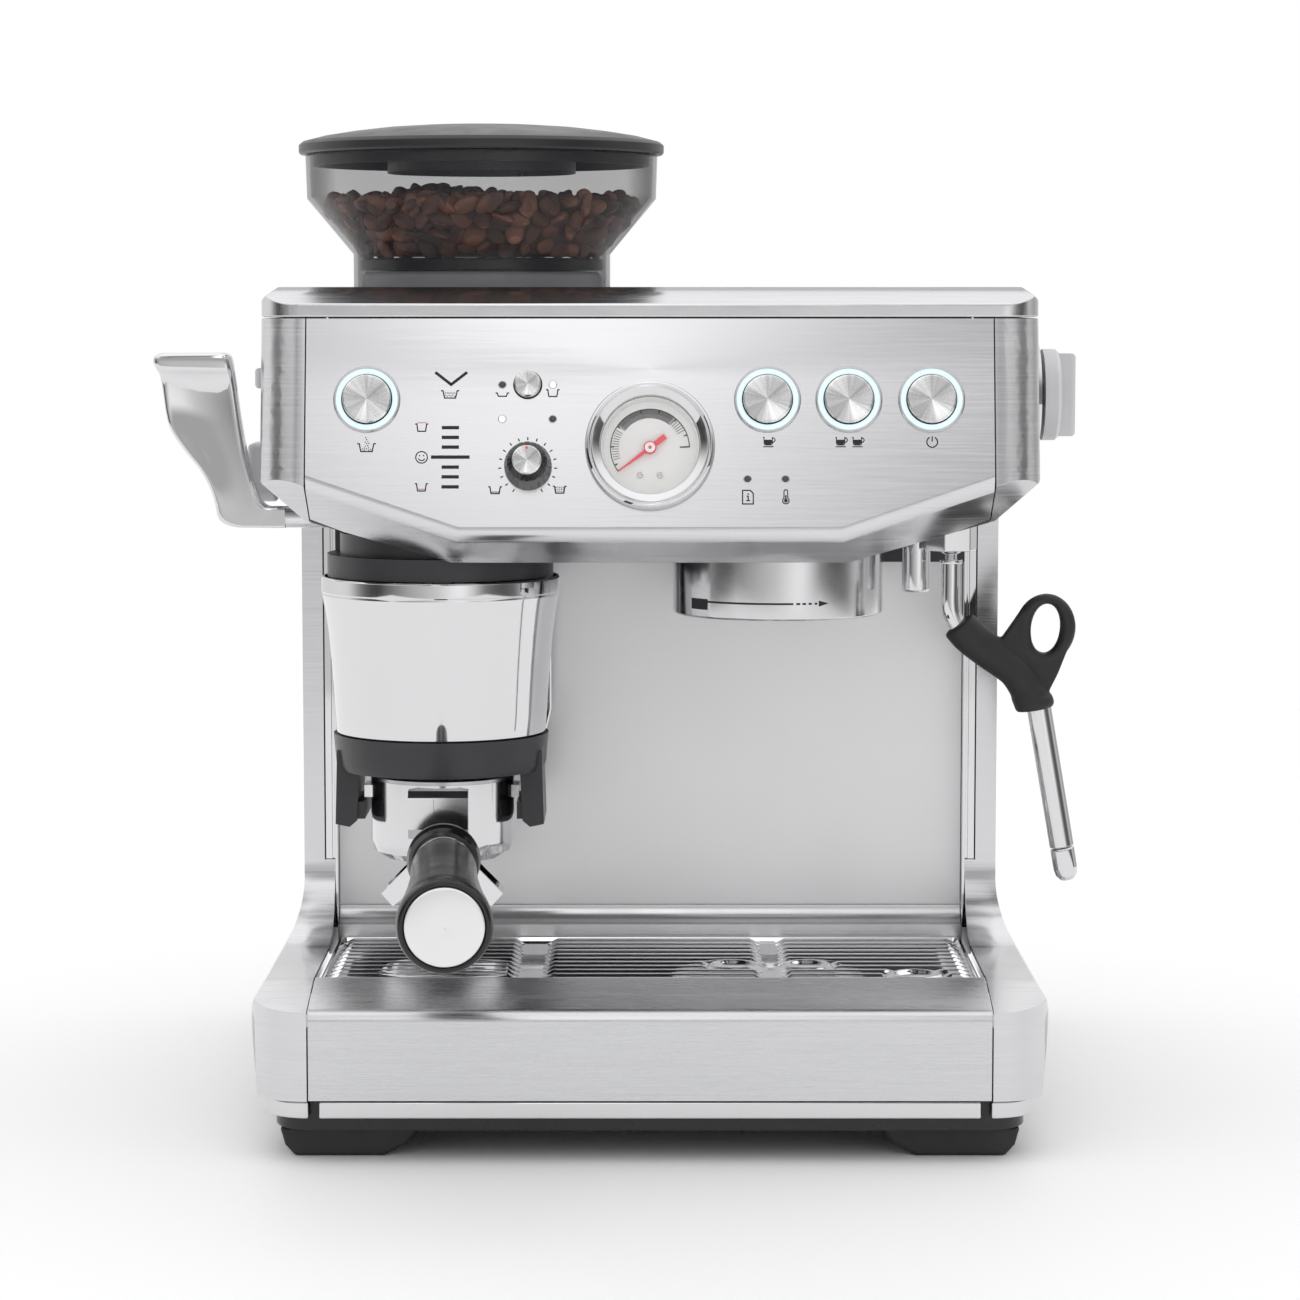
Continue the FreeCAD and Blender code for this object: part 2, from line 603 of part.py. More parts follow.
def cradle():
    """Moulded fork that holds the filter holder: a band under the skirt, two legs and a back web."""
    band = turned([(33.4, 149.4), (42.4, 149.4), (43.4, 152), (44.4, 164.2), (33.4, 164.2)], TAMP_X, TAMP_Y)
    web = box(TAMP_X - 30, TAMP_X + 30, TAMP_Y + 38, TAMP_Y + 49.8, 149.4, 164.2)
    legs = []
    for side in (-1, 1):
        xo = TAMP_X + 42.0 * side
        outline = [(xo, 158), (xo + 0.8 * side, 127.6), (xo - 5.0 * side, 126.4), (xo - 8.0 * side, 129),
                   (xo - 9.0 * side, 149.6), (xo - 9.0 * side, 158)]
        leg = prism_y(outline, TAMP_Y - 16, TAMP_Y + 22)
        shelf = box(min(BOWL_X + 31.2 * side, xo - 3 * side), max(BOWL_X + 31.2 * side, xo - 3 * side),
                    TAMP_Y - 14, TAMP_Y + 20, 129.5, 136.6)
        legs.append(leg.fuse(shelf))
    bore = cyl(V(TAMP_X, TAMP_Y, 140), V(0, 0, 1), 33.4, 40)
    return joined([band, web] + legs).cut(bore)


def tooth_points(count, module, radius, shrink):
    """Outline of a spur gear with straight-sided teeth that follow the involute closely."""
    base = radius * math.cos(math.radians(20))
    top = radius + 0.85 * module
    root = radius - 1.15 * module
    inv = math.tan(math.radians(20)) - math.radians(20)
    half = math.pi / (2 * count) - shrink / (2 * radius)
    points = []
    for k in range(count):
        centre = 2 * math.pi * k / count
        flank = []
        for step in range(5):
            r = max(base, root) + (top - max(base, root)) * step / 4
            pressure = math.acos(min(1.0, base / r))
            angle = half + inv - (math.tan(pressure) - pressure)
            flank.append((r, angle))
        left = [(root, flank[0][1])] + flank
        points += [(r, centre - a) for r, a in left]
        points += [(r, centre + a) for r, a in reversed(left)]
    return points


def lever_shaft():
    """Cross shaft with the pinion that drives the tamper."""
    shaft = cyl(V(-170, TAMP_Y, LEVER_Z), V(1, 0, 0), 4.5, 170 + TAMP_X + 12)
    ring = tooth_points(PINION_TEETH, PINION_MODULE, PINION_R, BACKLASH)
    outline = [V(0, r * math.cos(a), r * math.sin(a)) for r, a in ring]
    pinion = face_of(outline).extrude(V(10, 0, 0)).translated(V(TAMP_X - 5, TAMP_Y, LEVER_Z))
    hub = cyl(V(TAMP_X - 9, TAMP_Y, LEVER_Z), V(1, 0, 0), 8, 18)
    return joined([shaft, pinion, hub])


def tamp_lever():
    """Broad polished grip that rises from the cross shaft outside the casing."""
    outline = [(-149.5, 248.6), (-149.5, 257.3), (-158, 257.6), (-161.5, 261.5), (-167.5, 282.5),
               (-172.4, 317.2),
               (-175, 320.2), (-200, 320.6), (-203.4, 318.6), (-203.0, 311), (-198.8, 292.5), (-196, 284.5),
               (-189, 275), (-181.5, 262), (-176.5, 250), (-174, 248.6)]
    blade = prism_y(outline, TAMP_Y - 7, TAMP_Y + 7)
    trim = box(-158.2, -140, TAMP_Y - 10, TAMP_Y + 10, 240, 262)
    blade = blade.cut(trim.cut(cyl(V(-160, TAMP_Y, LEVER_Z), V(1, 0, 0), 4.4, 25)))
    return blade.cut(cyl(V(-172, TAMP_Y, LEVER_Z), V(1, 0, 0), 4.55, 30))


def lever_side_housing():
    """Pale bearing cover on the side of the head behind the lever."""
    side = prism_x([(92, 282.6), (116, 282.6), (116, 263), (110, 259), (98, 258), (92, 262)],
                   -167, -HEAD_HALF - 0.1)
    return side


def tamper():
    """Pressing disc on a stem with the rack that the pinion drives."""
    disc = turned([(0, 166.4), (24.4, 166.4), (25.2, 167.2), (25.2, 171.4), (23.8, 172.6), (0, 173.8)],
                  TAMP_X, TAMP_Y)
    stem = cyl(V(TAMP_X, TAMP_Y, 173), V(0, 0, 1), 7.0, 30)
    foot = box(TAMP_X - 5, TAMP_X + 5, TAMP_Y - PINION_R - 9, TAMP_Y + 6, 200, 208)
    back = box(TAMP_X - 5, TAMP_X + 5, TAMP_Y - PINION_R - 9, TAMP_Y - PINION_R - 2.2, 200, 298)
    teeth = []
    pitch = math.pi * PINION_MODULE
    count = 11
    for k in range(count):
        zc = LEVER_Z + (k - 3) * pitch + pitch / 2
        half = pitch / 4 - BACKLASH / 2
        lean = math.tan(math.radians(20))
        y_root = TAMP_Y - PINION_R - 2.2
        y_top = TAMP_Y - PINION_R + 0.8 * PINION_MODULE
        y_mid = TAMP_Y - PINION_R
        root_half = half + (y_mid - y_root) * lean
        top_half = half - (y_top - y_mid) * lean
        teeth.append(prism_x([(y_root - 0.5, zc - root_half), (y_root - 0.5, zc + root_half),
                              (y_root, zc + root_half), (y_top, zc + top_half), (y_top, zc - top_half),
                              (y_root, zc - root_half)], TAMP_X - 4.5, TAMP_X + 4.5))
    return joined([disc, stem, foot, back] + teeth)


# ---- brew group, spout and steam ----
def group_head():
    """Polished collar with a bayonet groove inside and two entry slots."""
    body = turned([(0, 236), (31.2, 236), (34, 236), (34, 224), (31.2, 222), (31.2, GROUP_BOTTOM_Z),
                   (42.4, GROUP_BOTTOM_Z), (GROUP_R, GROUP_BOTTOM_Z + 1), (GROUP_R, 250), (0, 250)],
                  GROUP_X, GROUP_Y)
    slots = [box(GROUP_X + s * 31 - 4, GROUP_X + s * 31 + 4, GROUP_Y - 9, GROUP_Y + 9, 213, 225)
             for s in (-1, 1)]
    return minus(body, slots)


def shower_screen():
    disc = turned([(0, 231.4), (26.2, 231.4), (26.2, 236), (22, 236), (22, 233), (0, 233)],
                  GROUP_X, GROUP_Y)
    holes = []
    for ring, count in ((6, 6), (12, 12), (18, 18)):
        for k in range(count):
            a = 2 * math.pi * k / count
            spot = V(GROUP_X + ring * math.cos(a), GROUP_Y + ring * math.sin(a), 230)
            holes.append(cyl(spot, V(0, 0, 1), 0.8, 5))
    return minus(disc, holes)


def thermocoil():
    """Cast heater block above the group with two pipe stubs."""
    block = turned([(0, 250.2), (34, 250.2), (36, 252), (36, 276), (34, 278), (0, 278)], GROUP_X, GROUP_Y)
    stubs = [cyl(V(GROUP_X + x, GROUP_Y, 277), V(0, 0, 1), 3.5, 14) for x in (-16, 16)]
    return joined([block] + stubs)


def hot_water_spout():
    profile = [(3.6, 223.0), (5.2, 223.0), (5.9, 223.8), (5.9, 252), (3.6, 252)]
    return turned(profile, SPOUT_X, SPOUT_Y)


def steam_nut():
    """Six-sided seat that holds the ball of the wand."""
    a = [math.pi * k / 3 + 0.2 for k in range(6)]
    hexagon = prism_z([(WAND_X + 10.9 * math.cos(t), WAND_Y + 10.9 * math.sin(t)) for t in a], 240.6, 258)
    cavity = Part.makeSphere(8.7, V(WAND_X, WAND_Y, WAND_Z))
    mouth = cyl(V(WAND_X, WAND_Y, 235), V(0, 0, 1), 7.6, 8)
    return minus(hexagon, [cavity, mouth])


def wand_swivel_cup():
    """Turning cup inside the nut that lets the ball roll and swing."""
    centre = V(WAND_X, WAND_Y, WAND_Z)
    shell = Part.makeSphere(8.35, centre).cut(Part.makeSphere(6.95, centre))
    below = box(WAND_X - 20, WAND_X + 20, WAND_Y - 20, WAND_Y + 20, 230, WAND_Z - 4.3)
    pin_holes = cyl(V(WAND_X, WAND_Y - 10, WAND_Z), V(0, 1, 0), WAND_PIN_R + 0.06, 20)
    return minus(shell, [below, pin_holes])


def wand_path():
    return [V(WAND_X, WAND_Y, 236), V(WAND_X, WAND_Y, 217), V(124.0, WAND_Y, 211.5), V(128.5, WAND_Y, 207),
            V(147.5, WAND_Y, 193.5), V(154.6, WAND_Y, 187), V(158.6, WAND_Y, 178)]


def chain(points, radius):
    parts = []
    for start, end in zip(points, points[1:]):
        parts.append(rod(start, end, radius))
    for point in points[1:-1]:
        parts.append(Part.makeSphere(radius, point))
    return joined(parts)


WAND_END = V(171.3, WAND_Y, 105.0)


def steam_wand():
    """Ball with its cross pin, stem, collar and bent tube down to the tip."""
    ball = Part.makeSphere(6.55, V(WAND_X, WAND_Y, WAND_Z))
    pin = cyl(V(WAND_X, WAND_Y - 7.9, WAND_Z), V(0, 1, 0), WAND_PIN_R, 15.8)
    stem = cyl(V(WAND_X, WAND_Y, 235.5), V(0, 0, 1), 2.4, 8)
    collar = cyl(V(WAND_X, WAND_Y, 235.2), V(0, 0, 1), 4.7, 1.6)
    points = wand_path()
    upper = chain(points, 3.75)
    lower_start = points[-1]
    joint = lower_start + (WAND_END - lower_start) * 0.815
    lower = rod(lower_start, joint, 5.0)
    cap = Part.makeSphere(5.0, lower_start)
    return joined([ball, pin, stem, collar, upper, cap, lower])


def wand_tip():
    start = wand_path()[-1]
    joint = start + (WAND_END - start) * 0.82
    along = (WAND_END - joint)
    profile = [(0, 0), (4.9, 0), (4.9, along.Length - 2.2), (3.4, along.Length), (0, along.Length)]
    tip = turned_along(profile, joint, along)
    return tip.cut(rod(joint + along * 0.5, joint + along * 1.2, 0.9))


def wand_grip():
    """Soft sleeve round the bend with a finger loop."""
    p = wand_path()
    a = p[2] + (p[3] - p[2]) * 0.3
    sleeve = joined([rod(a, p[4], 8.2), Part.makeSphere(8.2, p[4]), rod(p[4], p[5], 8.2),
                     Part.makeSphere(8.2, p[5]), rod(p[5], p[6] + (p[6] - p[5]) * 0.15, 8.0)])
    loop = Part.Face(Part.Wire(Part.Ellipse(V(161.6, 54, 208.2), 14.2, 12.4).toShape()))
    loop.rotate(V(161.6, 54, 208.2), V(1, 0, 0), 90)
    loop.rotate(V(161.6, 54, 208.2), V(0, 1, 0), 80)
    disc = loop.extrude(V(0, 8, 0)).translated(V(0, 0, 0))
    web = prism_y([(145.0, 203.5), (152.0, 216.0), (173.4, 204.0), (164.2, 184.0), (154.0, 184.0)], 54, 62)
    hole_face = Part.Face(Part.Wire(Part.Ellipse(V(162, 50, 208), 10.4, 6.4).toShape()))
    hole_face.rotate(V(162, 50, 208), V(1, 0, 0), 90)
    hole_face.rotate(V(162, 50, 208), V(0, 1, 0), 86)
    hole = hole_face.extrude(V(0, 16, 0))
    body = joined([sleeve, disc, web])
    cores = [chain(p, 3.8), rod(p[-1], WAND_END, 5.05), Part.makeSphere(5.05, p[-1])]
    return minus(body, [hole] + cores)


# ---- filter holder ----

def holder_axis():
    return (HANDLE_END - HANDLE_START).normalize()


def portafilter_bowl():
    """Cast bowl with two ears, a boss at the front and the neck of the handle."""
    bowl = turned([(4, 112.6), (24, 112.6), (28.2, 115.5), (BOWL_R, 120), (BOWL_R, BOWL_TOP_Z - 1.4),
                   (27.9, BOWL_TOP_Z - 1.4), (27.9, 118), (25, 115.6), (4, 115.6)], BOWL_X, TAMP_Y)
    ears = []
    for s in (-1, 1):
        x0 = BOWL_X + s * (BOWL_R - 1.2)
        x1 = BOWL_X + s * (BOWL_R + 2.3)
        ears.append(box(min(x0, x1), max(x0, x1), TAMP_Y - 7, TAMP_Y + 7, 137.6, 142.6))
    boss = prism_x([(56, 124), (44.6, 124), (42.4, 128), (42.4, 141), (44.6, 143.6), (56, 143.6)],
                   BOWL_X - 12.2, BOWL_X + 12.2)
    groove = box(BOWL_X - 1.8, BOWL_X + 1.8, 40, 43.6, 128, 140.6)
    neck = rod(HANDLE_START - holder_axis() * 14, HANDLE_START + holder_axis() * 26, 8.6)
    lower = prism_x([(57, 112.8), (48, 112.8), (44.6, 118), (44.6, 126), (57, 126)], BOWL_X - 9, BOWL_X + 9)
    body = joined([bowl, boss, neck, lower] + ears)
    inside = cyl(V(BOWL_X, TAMP_Y, 118), V(0, 0, 1), 27.9, 40)
    inside_low = cyl(V(BOWL_X, TAMP_Y, 115.6), V(0, 0, 1), 25, 5)
    return minus(body, [groove, inside, inside_low])


def filter_basket():
    """Perforated cup that hangs by its rim in the bowl."""
    cup = turned([(0, 121.4), (24.6, 121.4), (26.8, 123.4), (27.4, 145.1), (29.4, 145.1),
                  (29.4, BOWL_TOP_Z), (26.8, BOWL_TOP_Z), (26.2, 124), (24, 122.4), (0, 122.4)], BOWL_X, TAMP_Y)
    holes = []
    for ring, count in ((5, 6), (10, 12), (15, 18), (20, 24)):
        for k in range(count):
            a = 2 * math.pi * k / count
            spot = V(BOWL_X + ring * math.cos(a), TAMP_Y + ring * math.sin(a), 120)
            holes.append(cyl(spot, V(0, 0, 1), 0.6, 5))
    return minus(cup, holes)


def portafilter_spout():
    """Twin spout: a round boss under the bowl and two open wings that turn down."""
    boss = turned([(3, 103.4), (9.5, 103.4), (9.5, 112.4), (3, 112.4)], BOWL_X, TAMP_Y)
    wings = []
    for s in (-1, 1):
        outline = [(BOWL_X + 2 * s, 110.5), (BOWL_X + 12.5 * s, 110.5), (BOWL_X + 25.2 * s, 97.6),
                   (BOWL_X + 20.4 * s, 92.2), (BOWL_X + 14 * s, 97.5), (BOWL_X + 8 * s, 103.4),
                   (BOWL_X + 2 * s, 103.4)]
        wing = prism_y(outline, TAMP_Y - 9.0, TAMP_Y + 9.0)
        inner = [(BOWL_X + 5 * s, 112), (BOWL_X + 11.3 * s, 112), (BOWL_X + 26.5 * s, 96.2),
                 (BOWL_X + 21.5 * s, 93.6), (BOWL_X + 13.6 * s, 100.8), (BOWL_X + 7.6 * s, 105.6),
                 (BOWL_X + 5 * s, 105.6)]
        channel = prism_y(inner, TAMP_Y - 7.2, TAMP_Y + 7.2)
        wings.append(wing.cut(channel))
    return joined([boss] + wings).cut(cyl(V(BOWL_X, TAMP_Y, 100), V(0, 0, 1), 3, 20))


def portafilter_handle():
    """Black handle: flared collar, waist and swelling grip, turned round its own axis."""
    length = (HANDLE_END - HANDLE_START).Length
    profile = [(8.7, 18), (14.6, 19), (14.9, 22), (13.6, 29.5), (12.1, 30), (8.7, 30)]
    collar = turned_along(profile, HANDLE_START, holder_axis())
    grip = [(0, 46), (12.9, 46), (12.9, 58), (13.4, 80), (14.8, 110), (16.6, 140), (17.8, length - 10),
            (17.8, length - 5), (16.6, length - 1.6), (15.0, length - 1.4), (15.0, length - 5),
            (0, length - 5)]
    grip = turned_along(grip, HANDLE_START, holder_axis())
    core = turned_along([(0, 26.6), (8.7, 26.6), (8.7, 46.5), (0, 46.5)], HANDLE_START, holder_axis())
    return joined([collar, core, grip])


def handle_ferrule():
    """Polished band between the collar and the grip."""
    profile = [(8.8, 30.2), (11.9, 30.2), (12.3, 38), (11.9, 45.8), (8.8, 45.8)]
    return turned_along(profile, HANDLE_START, holder_axis())


def handle_end_cap():
    length = (HANDLE_END - HANDLE_START).Length
    profile = [(0, length - 4.8), (14.8, length - 4.8), (14.8, length - 1.2), (13.6, length - 0.6),
               (9, length - 0.1), (0, length)]
    return turned_along(profile, HANDLE_START, holder_axis())


# ---- drip tray ----

def drip_tray_pan():
    """Tub that runs back under the column."""
    outer = prism_x([(3, 27.5), (147, 27.5), (147, 63), (38, 63), (38, 57), (3, 57)], -132.5, 132.5)
    inner = prism_x([(5.2, 29.7), (144.8, 29.7), (144.8, 70), (40.2, 70), (40.2, 54.8), (5.2, 54.8)],
                    -130.3, 130.3)
    return outer.cut(inner)


def drip_tray_front():
    """Brushed front with a folded sloping top."""
    half = SEAM_X - SEAM_GAP
    sheet = prism_x([(0, 25.4), (0, 61), (35, TRAY_TOP_Z), (36.6, TRAY_TOP_Z), (36.6, 64.2),
                     (35, 64.2), (35, 66.9),
                     (1.6, 59.7), (1.6, 25.4)], -half, half)
    lugs = [box(x - 8, x + 8, 1.5, 3.0, 32, 50) for x in (-90, 0, 90)]
    return joined([sheet] + lugs)


def drip_grill():
    """Ribbed lift-out plate with cross channels, three dimples and drain slots."""
    plate = box(-134.6, 134.6, 37.2, GRILL_BACK_Y, 64.6, 66.0)
    rim = box(-134.6, 134.6, 37.2, GRILL_BACK_Y, 64.6, 67.6)
    rim = rim.cut(box(-132.6, 132.6, 39.2, GRILL_BACK_Y - 2, 60, 70))
    parts = [plate, rim]
    spans = [(-130, -56), (-42, 45), (56, 130)]
    for k in range(RIB_COUNT):
        y = RIB_FIRST_Y + RIB_PITCH * k
        for x0, x1 in spans:
            parts.append(cyl(V(x0, y, 65.4), V(1, 0, 0), 2.9, x1 - x0))
    body = joined(parts)
    cutters = []
    for k in range(RIB_COUNT - 1):
        y = RIB_FIRST_Y + RIB_PITCH * (k + 0.5)
        for x0, x1 in spans:
            cutters.append(box(x0 + 4, x1 - 4, y - 1.3, y + 1.3, 60, 70))
    for x, y in ((35, 76), (65, 76), (109, 52)):
        cutters.append(Part.makeSphere(16, V(x, y, 81.6)))
    return minus(body, cutters)


def water_tank():
    """Clear removable tank with a rounded outline and an outlet valve boss underneath."""
    outer = box(-101, 101, 242.5, 317.5, 72, 332)
    outer = outer.makeFillet(8, [e for e in outer.Edges if e.BoundBox.ZLength > 200])
    inner = box(-98.4, 98.4, 245.1, 314.9, 74.6, 340)
    inner = inner.makeFillet(6, [e for e in inner.Edges if e.BoundBox.ZLength > 200])
    boss = tube(V(60, 280, 66), V(0, 0, 1), 9, 5, 6.5)
    return outer.cut(inner).cut(cyl(V(60, 280, 60), V(0, 0, 1), 5, 30)).fuse(boss).removeSplitter()


def tank_lid():
    plate = box(-103, 103, 241.5, 318.5, 341, 344.5)
    skirt = box(-96, 96, 247.6, 312.4, 329, 341.2).cut(box(-94, 94, 249.6, 310.4, 320, 341))
    grip = box(-30, 30, 276, 284, 344.5, 346.8)
    seat = box(-100.5, 100.5, 243, 317, 332.4, 341.2).cut(box(-96, 96, 247.4, 312.6, 330, 341))
    return joined([plate, skirt, grip, seat])


def tank_cradle():
    """Shelf and inlet socket that the tank stands on."""
    shelf = box(-105, 105, 236, 319, 54, 58)
    legs = [box(x - 3, x + 3, 238, 316, 15.2, 54) for x in (-90, 90)]
    ribs = [box(x - 3, x + 3, 244, 316, 58, 71.6) for x in (-80, 0)]
    socket = tube(V(60, 280, 58), V(0, 0, 1), 14, 9.6, 10)
    return joined([shelf, socket] + legs + ribs)


def main():
    os.makedirs("parts", exist_ok=True)
    shell = casing_shell()
    export("left_side_panel", side_panel(shell, -1))
    export("right_side_panel", side_panel(shell, 1))
    export("front_fascia", front_fascia(shell))
    export("head_underpan", head_underpan(shell).fuse(tamp_neck()))
    export("top_cover", top_cover())
    export("rear_cover", rear_cover())
    export("case_screws", case_screws())
    export("cord_gland", cord_gland())
    export("base_housing", base_housing())
    export("rubber_feet", rubber_feet())
    export("base_trim", base_trim())
    export("backsplash", joined([backsplash(), backsplash_cove()] + column_trims()))
    export("chassis", joined([chassis(), tank_cradle()]))
    export("indicator_lights", indicator_lights())
    export("button_rings", button_rings())
    for name, (x, z) in ROUND_BUTTONS.items():
        export(name, round_button(x, z))
    export("filter_button", filter_button())
    export("manual_dose_knob", dose_knob())
    export("gauge_bezel", gauge_bezel())
    export("gauge_dial", gauge_dial())
    export("gauge_glass", gauge_glass())
    export("gauge_needle", gauge_needle())
    export("steam_dial_bezel", steam_dial_bezel())
    export("steam_dial", steam_dial())
    export("grind_size_dial", grind_size_dial())
    export("hopper_body", hopper_body())
    export("hopper_gate", hopper_gate())
    export("coffee_beans", coffee_beans())
    export("hopper_lid", hopper_lid())
    export("grinder_housing", grinder_housing())
    export("cone_burr", cone_burr())
    export("tamp_shroud", tamp_shroud())
    export("shroud_backplate", shroud_backplate().fuse(backplate_edge()))
    export("portafilter_cradle", cradle())
    export("lever_shaft", lever_shaft())
    export("tamp_lever", tamp_lever())
    export("lever_side_housing", lever_side_housing())
    export("tamper", tamper())
    export("group_head", group_head())
    export("shower_screen", shower_screen())
    export("thermocoil", thermocoil())
    export("hot_water_spout", hot_water_spout())
    export("steam_nut", steam_nut())
    export("wand_swivel_cup", wand_swivel_cup())
    export("steam_wand", steam_wand())
    export("wand_tip", wand_tip())
    export("wand_grip", wand_grip())
    export("portafilter_bowl", portafilter_bowl())
    export("filter_basket", filter_basket())
    export("portafilter_spout", portafilter_spout())
    export("portafilter_handle", portafilter_handle())
    export("handle_bright_parts", Part.makeCompound([handle_ferrule(), handle_end_cap()]))
    export("drip_tray_pan", drip_tray_pan())
    export("drip_tray_front", drip_tray_front())
    export("drip_grill", drip_grill())
    export("water_tank", water_tank())
    export("tank_lid", tank_lid())


main()
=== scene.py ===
import json
import math
import random

import bmesh
import bpy
from mathutils import Matrix, Vector, noise


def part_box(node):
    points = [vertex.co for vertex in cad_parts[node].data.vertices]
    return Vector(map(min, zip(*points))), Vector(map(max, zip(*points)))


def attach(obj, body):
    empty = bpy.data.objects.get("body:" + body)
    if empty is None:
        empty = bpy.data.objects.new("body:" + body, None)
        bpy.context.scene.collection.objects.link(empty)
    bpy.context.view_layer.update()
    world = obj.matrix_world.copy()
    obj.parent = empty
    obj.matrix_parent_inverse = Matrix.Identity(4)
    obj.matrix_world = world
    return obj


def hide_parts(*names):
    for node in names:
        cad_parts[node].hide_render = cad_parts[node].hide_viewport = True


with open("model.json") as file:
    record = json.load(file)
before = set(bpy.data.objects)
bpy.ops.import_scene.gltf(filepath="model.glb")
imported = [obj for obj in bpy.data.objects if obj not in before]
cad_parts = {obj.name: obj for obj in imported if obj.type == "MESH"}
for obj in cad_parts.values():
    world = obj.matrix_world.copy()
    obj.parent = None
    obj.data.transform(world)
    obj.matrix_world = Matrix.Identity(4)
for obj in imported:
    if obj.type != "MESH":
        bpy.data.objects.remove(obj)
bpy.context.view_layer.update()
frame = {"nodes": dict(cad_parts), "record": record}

NODES = frame["nodes"]
RNG = random.Random(7)

# Working axes in millimetres: x from the middle of the casing, y back from the base front, z up.
_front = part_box("drip_tray_front")
X0 = (_front[0][0] + _front[1][0]) / 2
Y0 = _front[0][1]
MM = 0.001


def P(x, y, z):
    return Vector((X0 + x * MM, Y0 + y * MM, z * MM))


def new_object(name, data):
    ob = bpy.data.objects.new(name, data)
    bpy.context.scene.collection.objects.link(ob)
    return ob


# ---------------------------------------------------------------- materials

def shader(name, color, metallic=0.0, roughness=0.4, **sockets):
    m = bpy.data.materials.new(name)
    m.use_nodes = True
    p = m.node_tree.nodes["Principled BSDF"]
    p.inputs["Base Color"].default_value = (*color, 1)
    p.inputs["Metallic"].default_value = metallic
    p.inputs["Roughness"].default_value = roughness
    for key, value in sockets.items():
        p.inputs[key.replace("_", " ")].default_value = value
    return m


def node(m, kind, **props):
    n = m.node_tree.nodes.new(kind)
    for key, value in props.items():
        if key in n.inputs:
            n.inputs[key].default_value = value
        else:
            setattr(n, key, value)
    return n


def link(m, a, b):
    m.node_tree.links.new(a, b)


def position(m, scale):
    tc = node(m, "ShaderNodeTexCoord")
    mp = node(m, "ShaderNodeMapping")
    mp.inputs["Scale"].default_value = scale
    link(m, tc.outputs["Object"], mp.inputs["Vector"])
    return mp.outputs["Vector"]


def noise_out(m, scale, detail=4.0, rough=0.6, stretch=(1, 1, 1)):
    n = node(m, "ShaderNodeTexNoise")
    n.inputs["Scale"].default_value = scale
    n.inputs["Detail"].default_value = detail
    n.inputs["Roughness"].default_value = rough
    link(m, position(m, stretch), n.inputs["Vector"])
    return n.outputs["Fac"]


def ramp_range(m, source, low, high, a=0.3, b=0.7):
    r = node(m, "ShaderNodeMapRange")
    r.inputs["From Min"].default_value = a
    r.inputs["From Max"].default_value = b
    r.inputs["To Min"].default_value = low
    r.inputs["To Max"].default_value = high
    link(m, source, r.inputs["Value"])
    return r.outputs["Result"]


def bump(m, source, strength, distance=0.0002, after=None):
    b = node(m, "ShaderNodeBump")
    b.inputs["Strength"].default_value = strength
    b.inputs["Distance"].default_value = distance
    link(m, source, b.inputs["Height"])
    if after is not None:
        link(m, after, b.inputs["Normal"])
    link(m, b.outputs["Normal"], m.node_tree.nodes["Principled BSDF"].inputs["Normal"])
    return b.outputs["Normal"]


def mix_color(m, fac, a, b):
    c = node(m, "ShaderNodeMix", data_type="RGBA")
    link(m, fac, c.inputs["Factor"])
    c.inputs["A"].default_value = (*a, 1)
    c.inputs["B"].default_value = (*b, 1)
    return c.outputs["Result"]


def calc(m, operation, a, b=None):
    """Math node on values or links."""
    n = node(m, "ShaderNodeMath", operation=operation)
    for socket, value in zip(n.inputs, (a, b)):
        if isinstance(value, (int, float)):
            socket.default_value = value
        elif value is not None:
            link(m, value, socket)
    return n.outputs[0]


def blend(m, factor, a, b):
    """From a to b as factor goes from 0 to 1, each a value or a link."""
    return calc(m, "ADD", calc(m, "MULTIPLY", a, calc(m, "SUBTRACT", 1.0, factor)),
                calc(m, "MULTIPLY", b, factor))


def brushed(name, grain, light=(0.71, 0.71, 0.72), dark=(0.63, 0.63, 0.645), rough=(0.15, 0.22), aniso=0.6):
    """Sheet steel with fine grain; grain is the noise scale along each axis, high across the lines."""
    m = shader(name, light, 1.0, 0.3, Anisotropic=aniso, Anisotropic_Rotation=0.25)
    p = m.node_tree.nodes["Principled BSDF"]
    fine = noise_out(m, 1.0, 4, 0.65, grain)
    hair = noise_out(m, 1.0, 2, 0.5, tuple(g * 2.7 for g in grain))
    cloud = noise_out(m, 9.0, 3, 0.5)
    lines = calc(m, "MULTIPLY", calc(m, "ADD", fine, hair), 0.5)
    link(m, mix_color(m, ramp_range(m, lines, 0, 1, 0.36, 0.64), dark, light), p.inputs["Base Color"])
    wear = calc(m, "MULTIPLY", lines, ramp_range(m, cloud, 0.94, 1.06))
    link(m, ramp_range(m, wear, rough[0], rough[1], 0.35, 0.65), p.inputs["Roughness"])
    t = node(m, "ShaderNodeTangent", direction_type="RADIAL", axis="Z")
    link(m, t.outputs["Tangent"], p.inputs["Tangent"])
    bump(m, fine, 0.05, 0.00008)
    return m


def polished(name, color=(0.70, 0.70, 0.71), rough=(0.03, 0.075)):
    m = shader(name, color, 1.0, 0.05)
    p = m.node_tree.nodes["Principled BSDF"]
    smudge = noise_out(m, 38.0, 5, 0.62)
    link(m, ramp_range(m, smudge, rough[0], rough[1]), p.inputs["Roughness"])
    bump(m, noise_out(m, 26.0, 2, 0.5), 0.02, 0.0004)
    return m


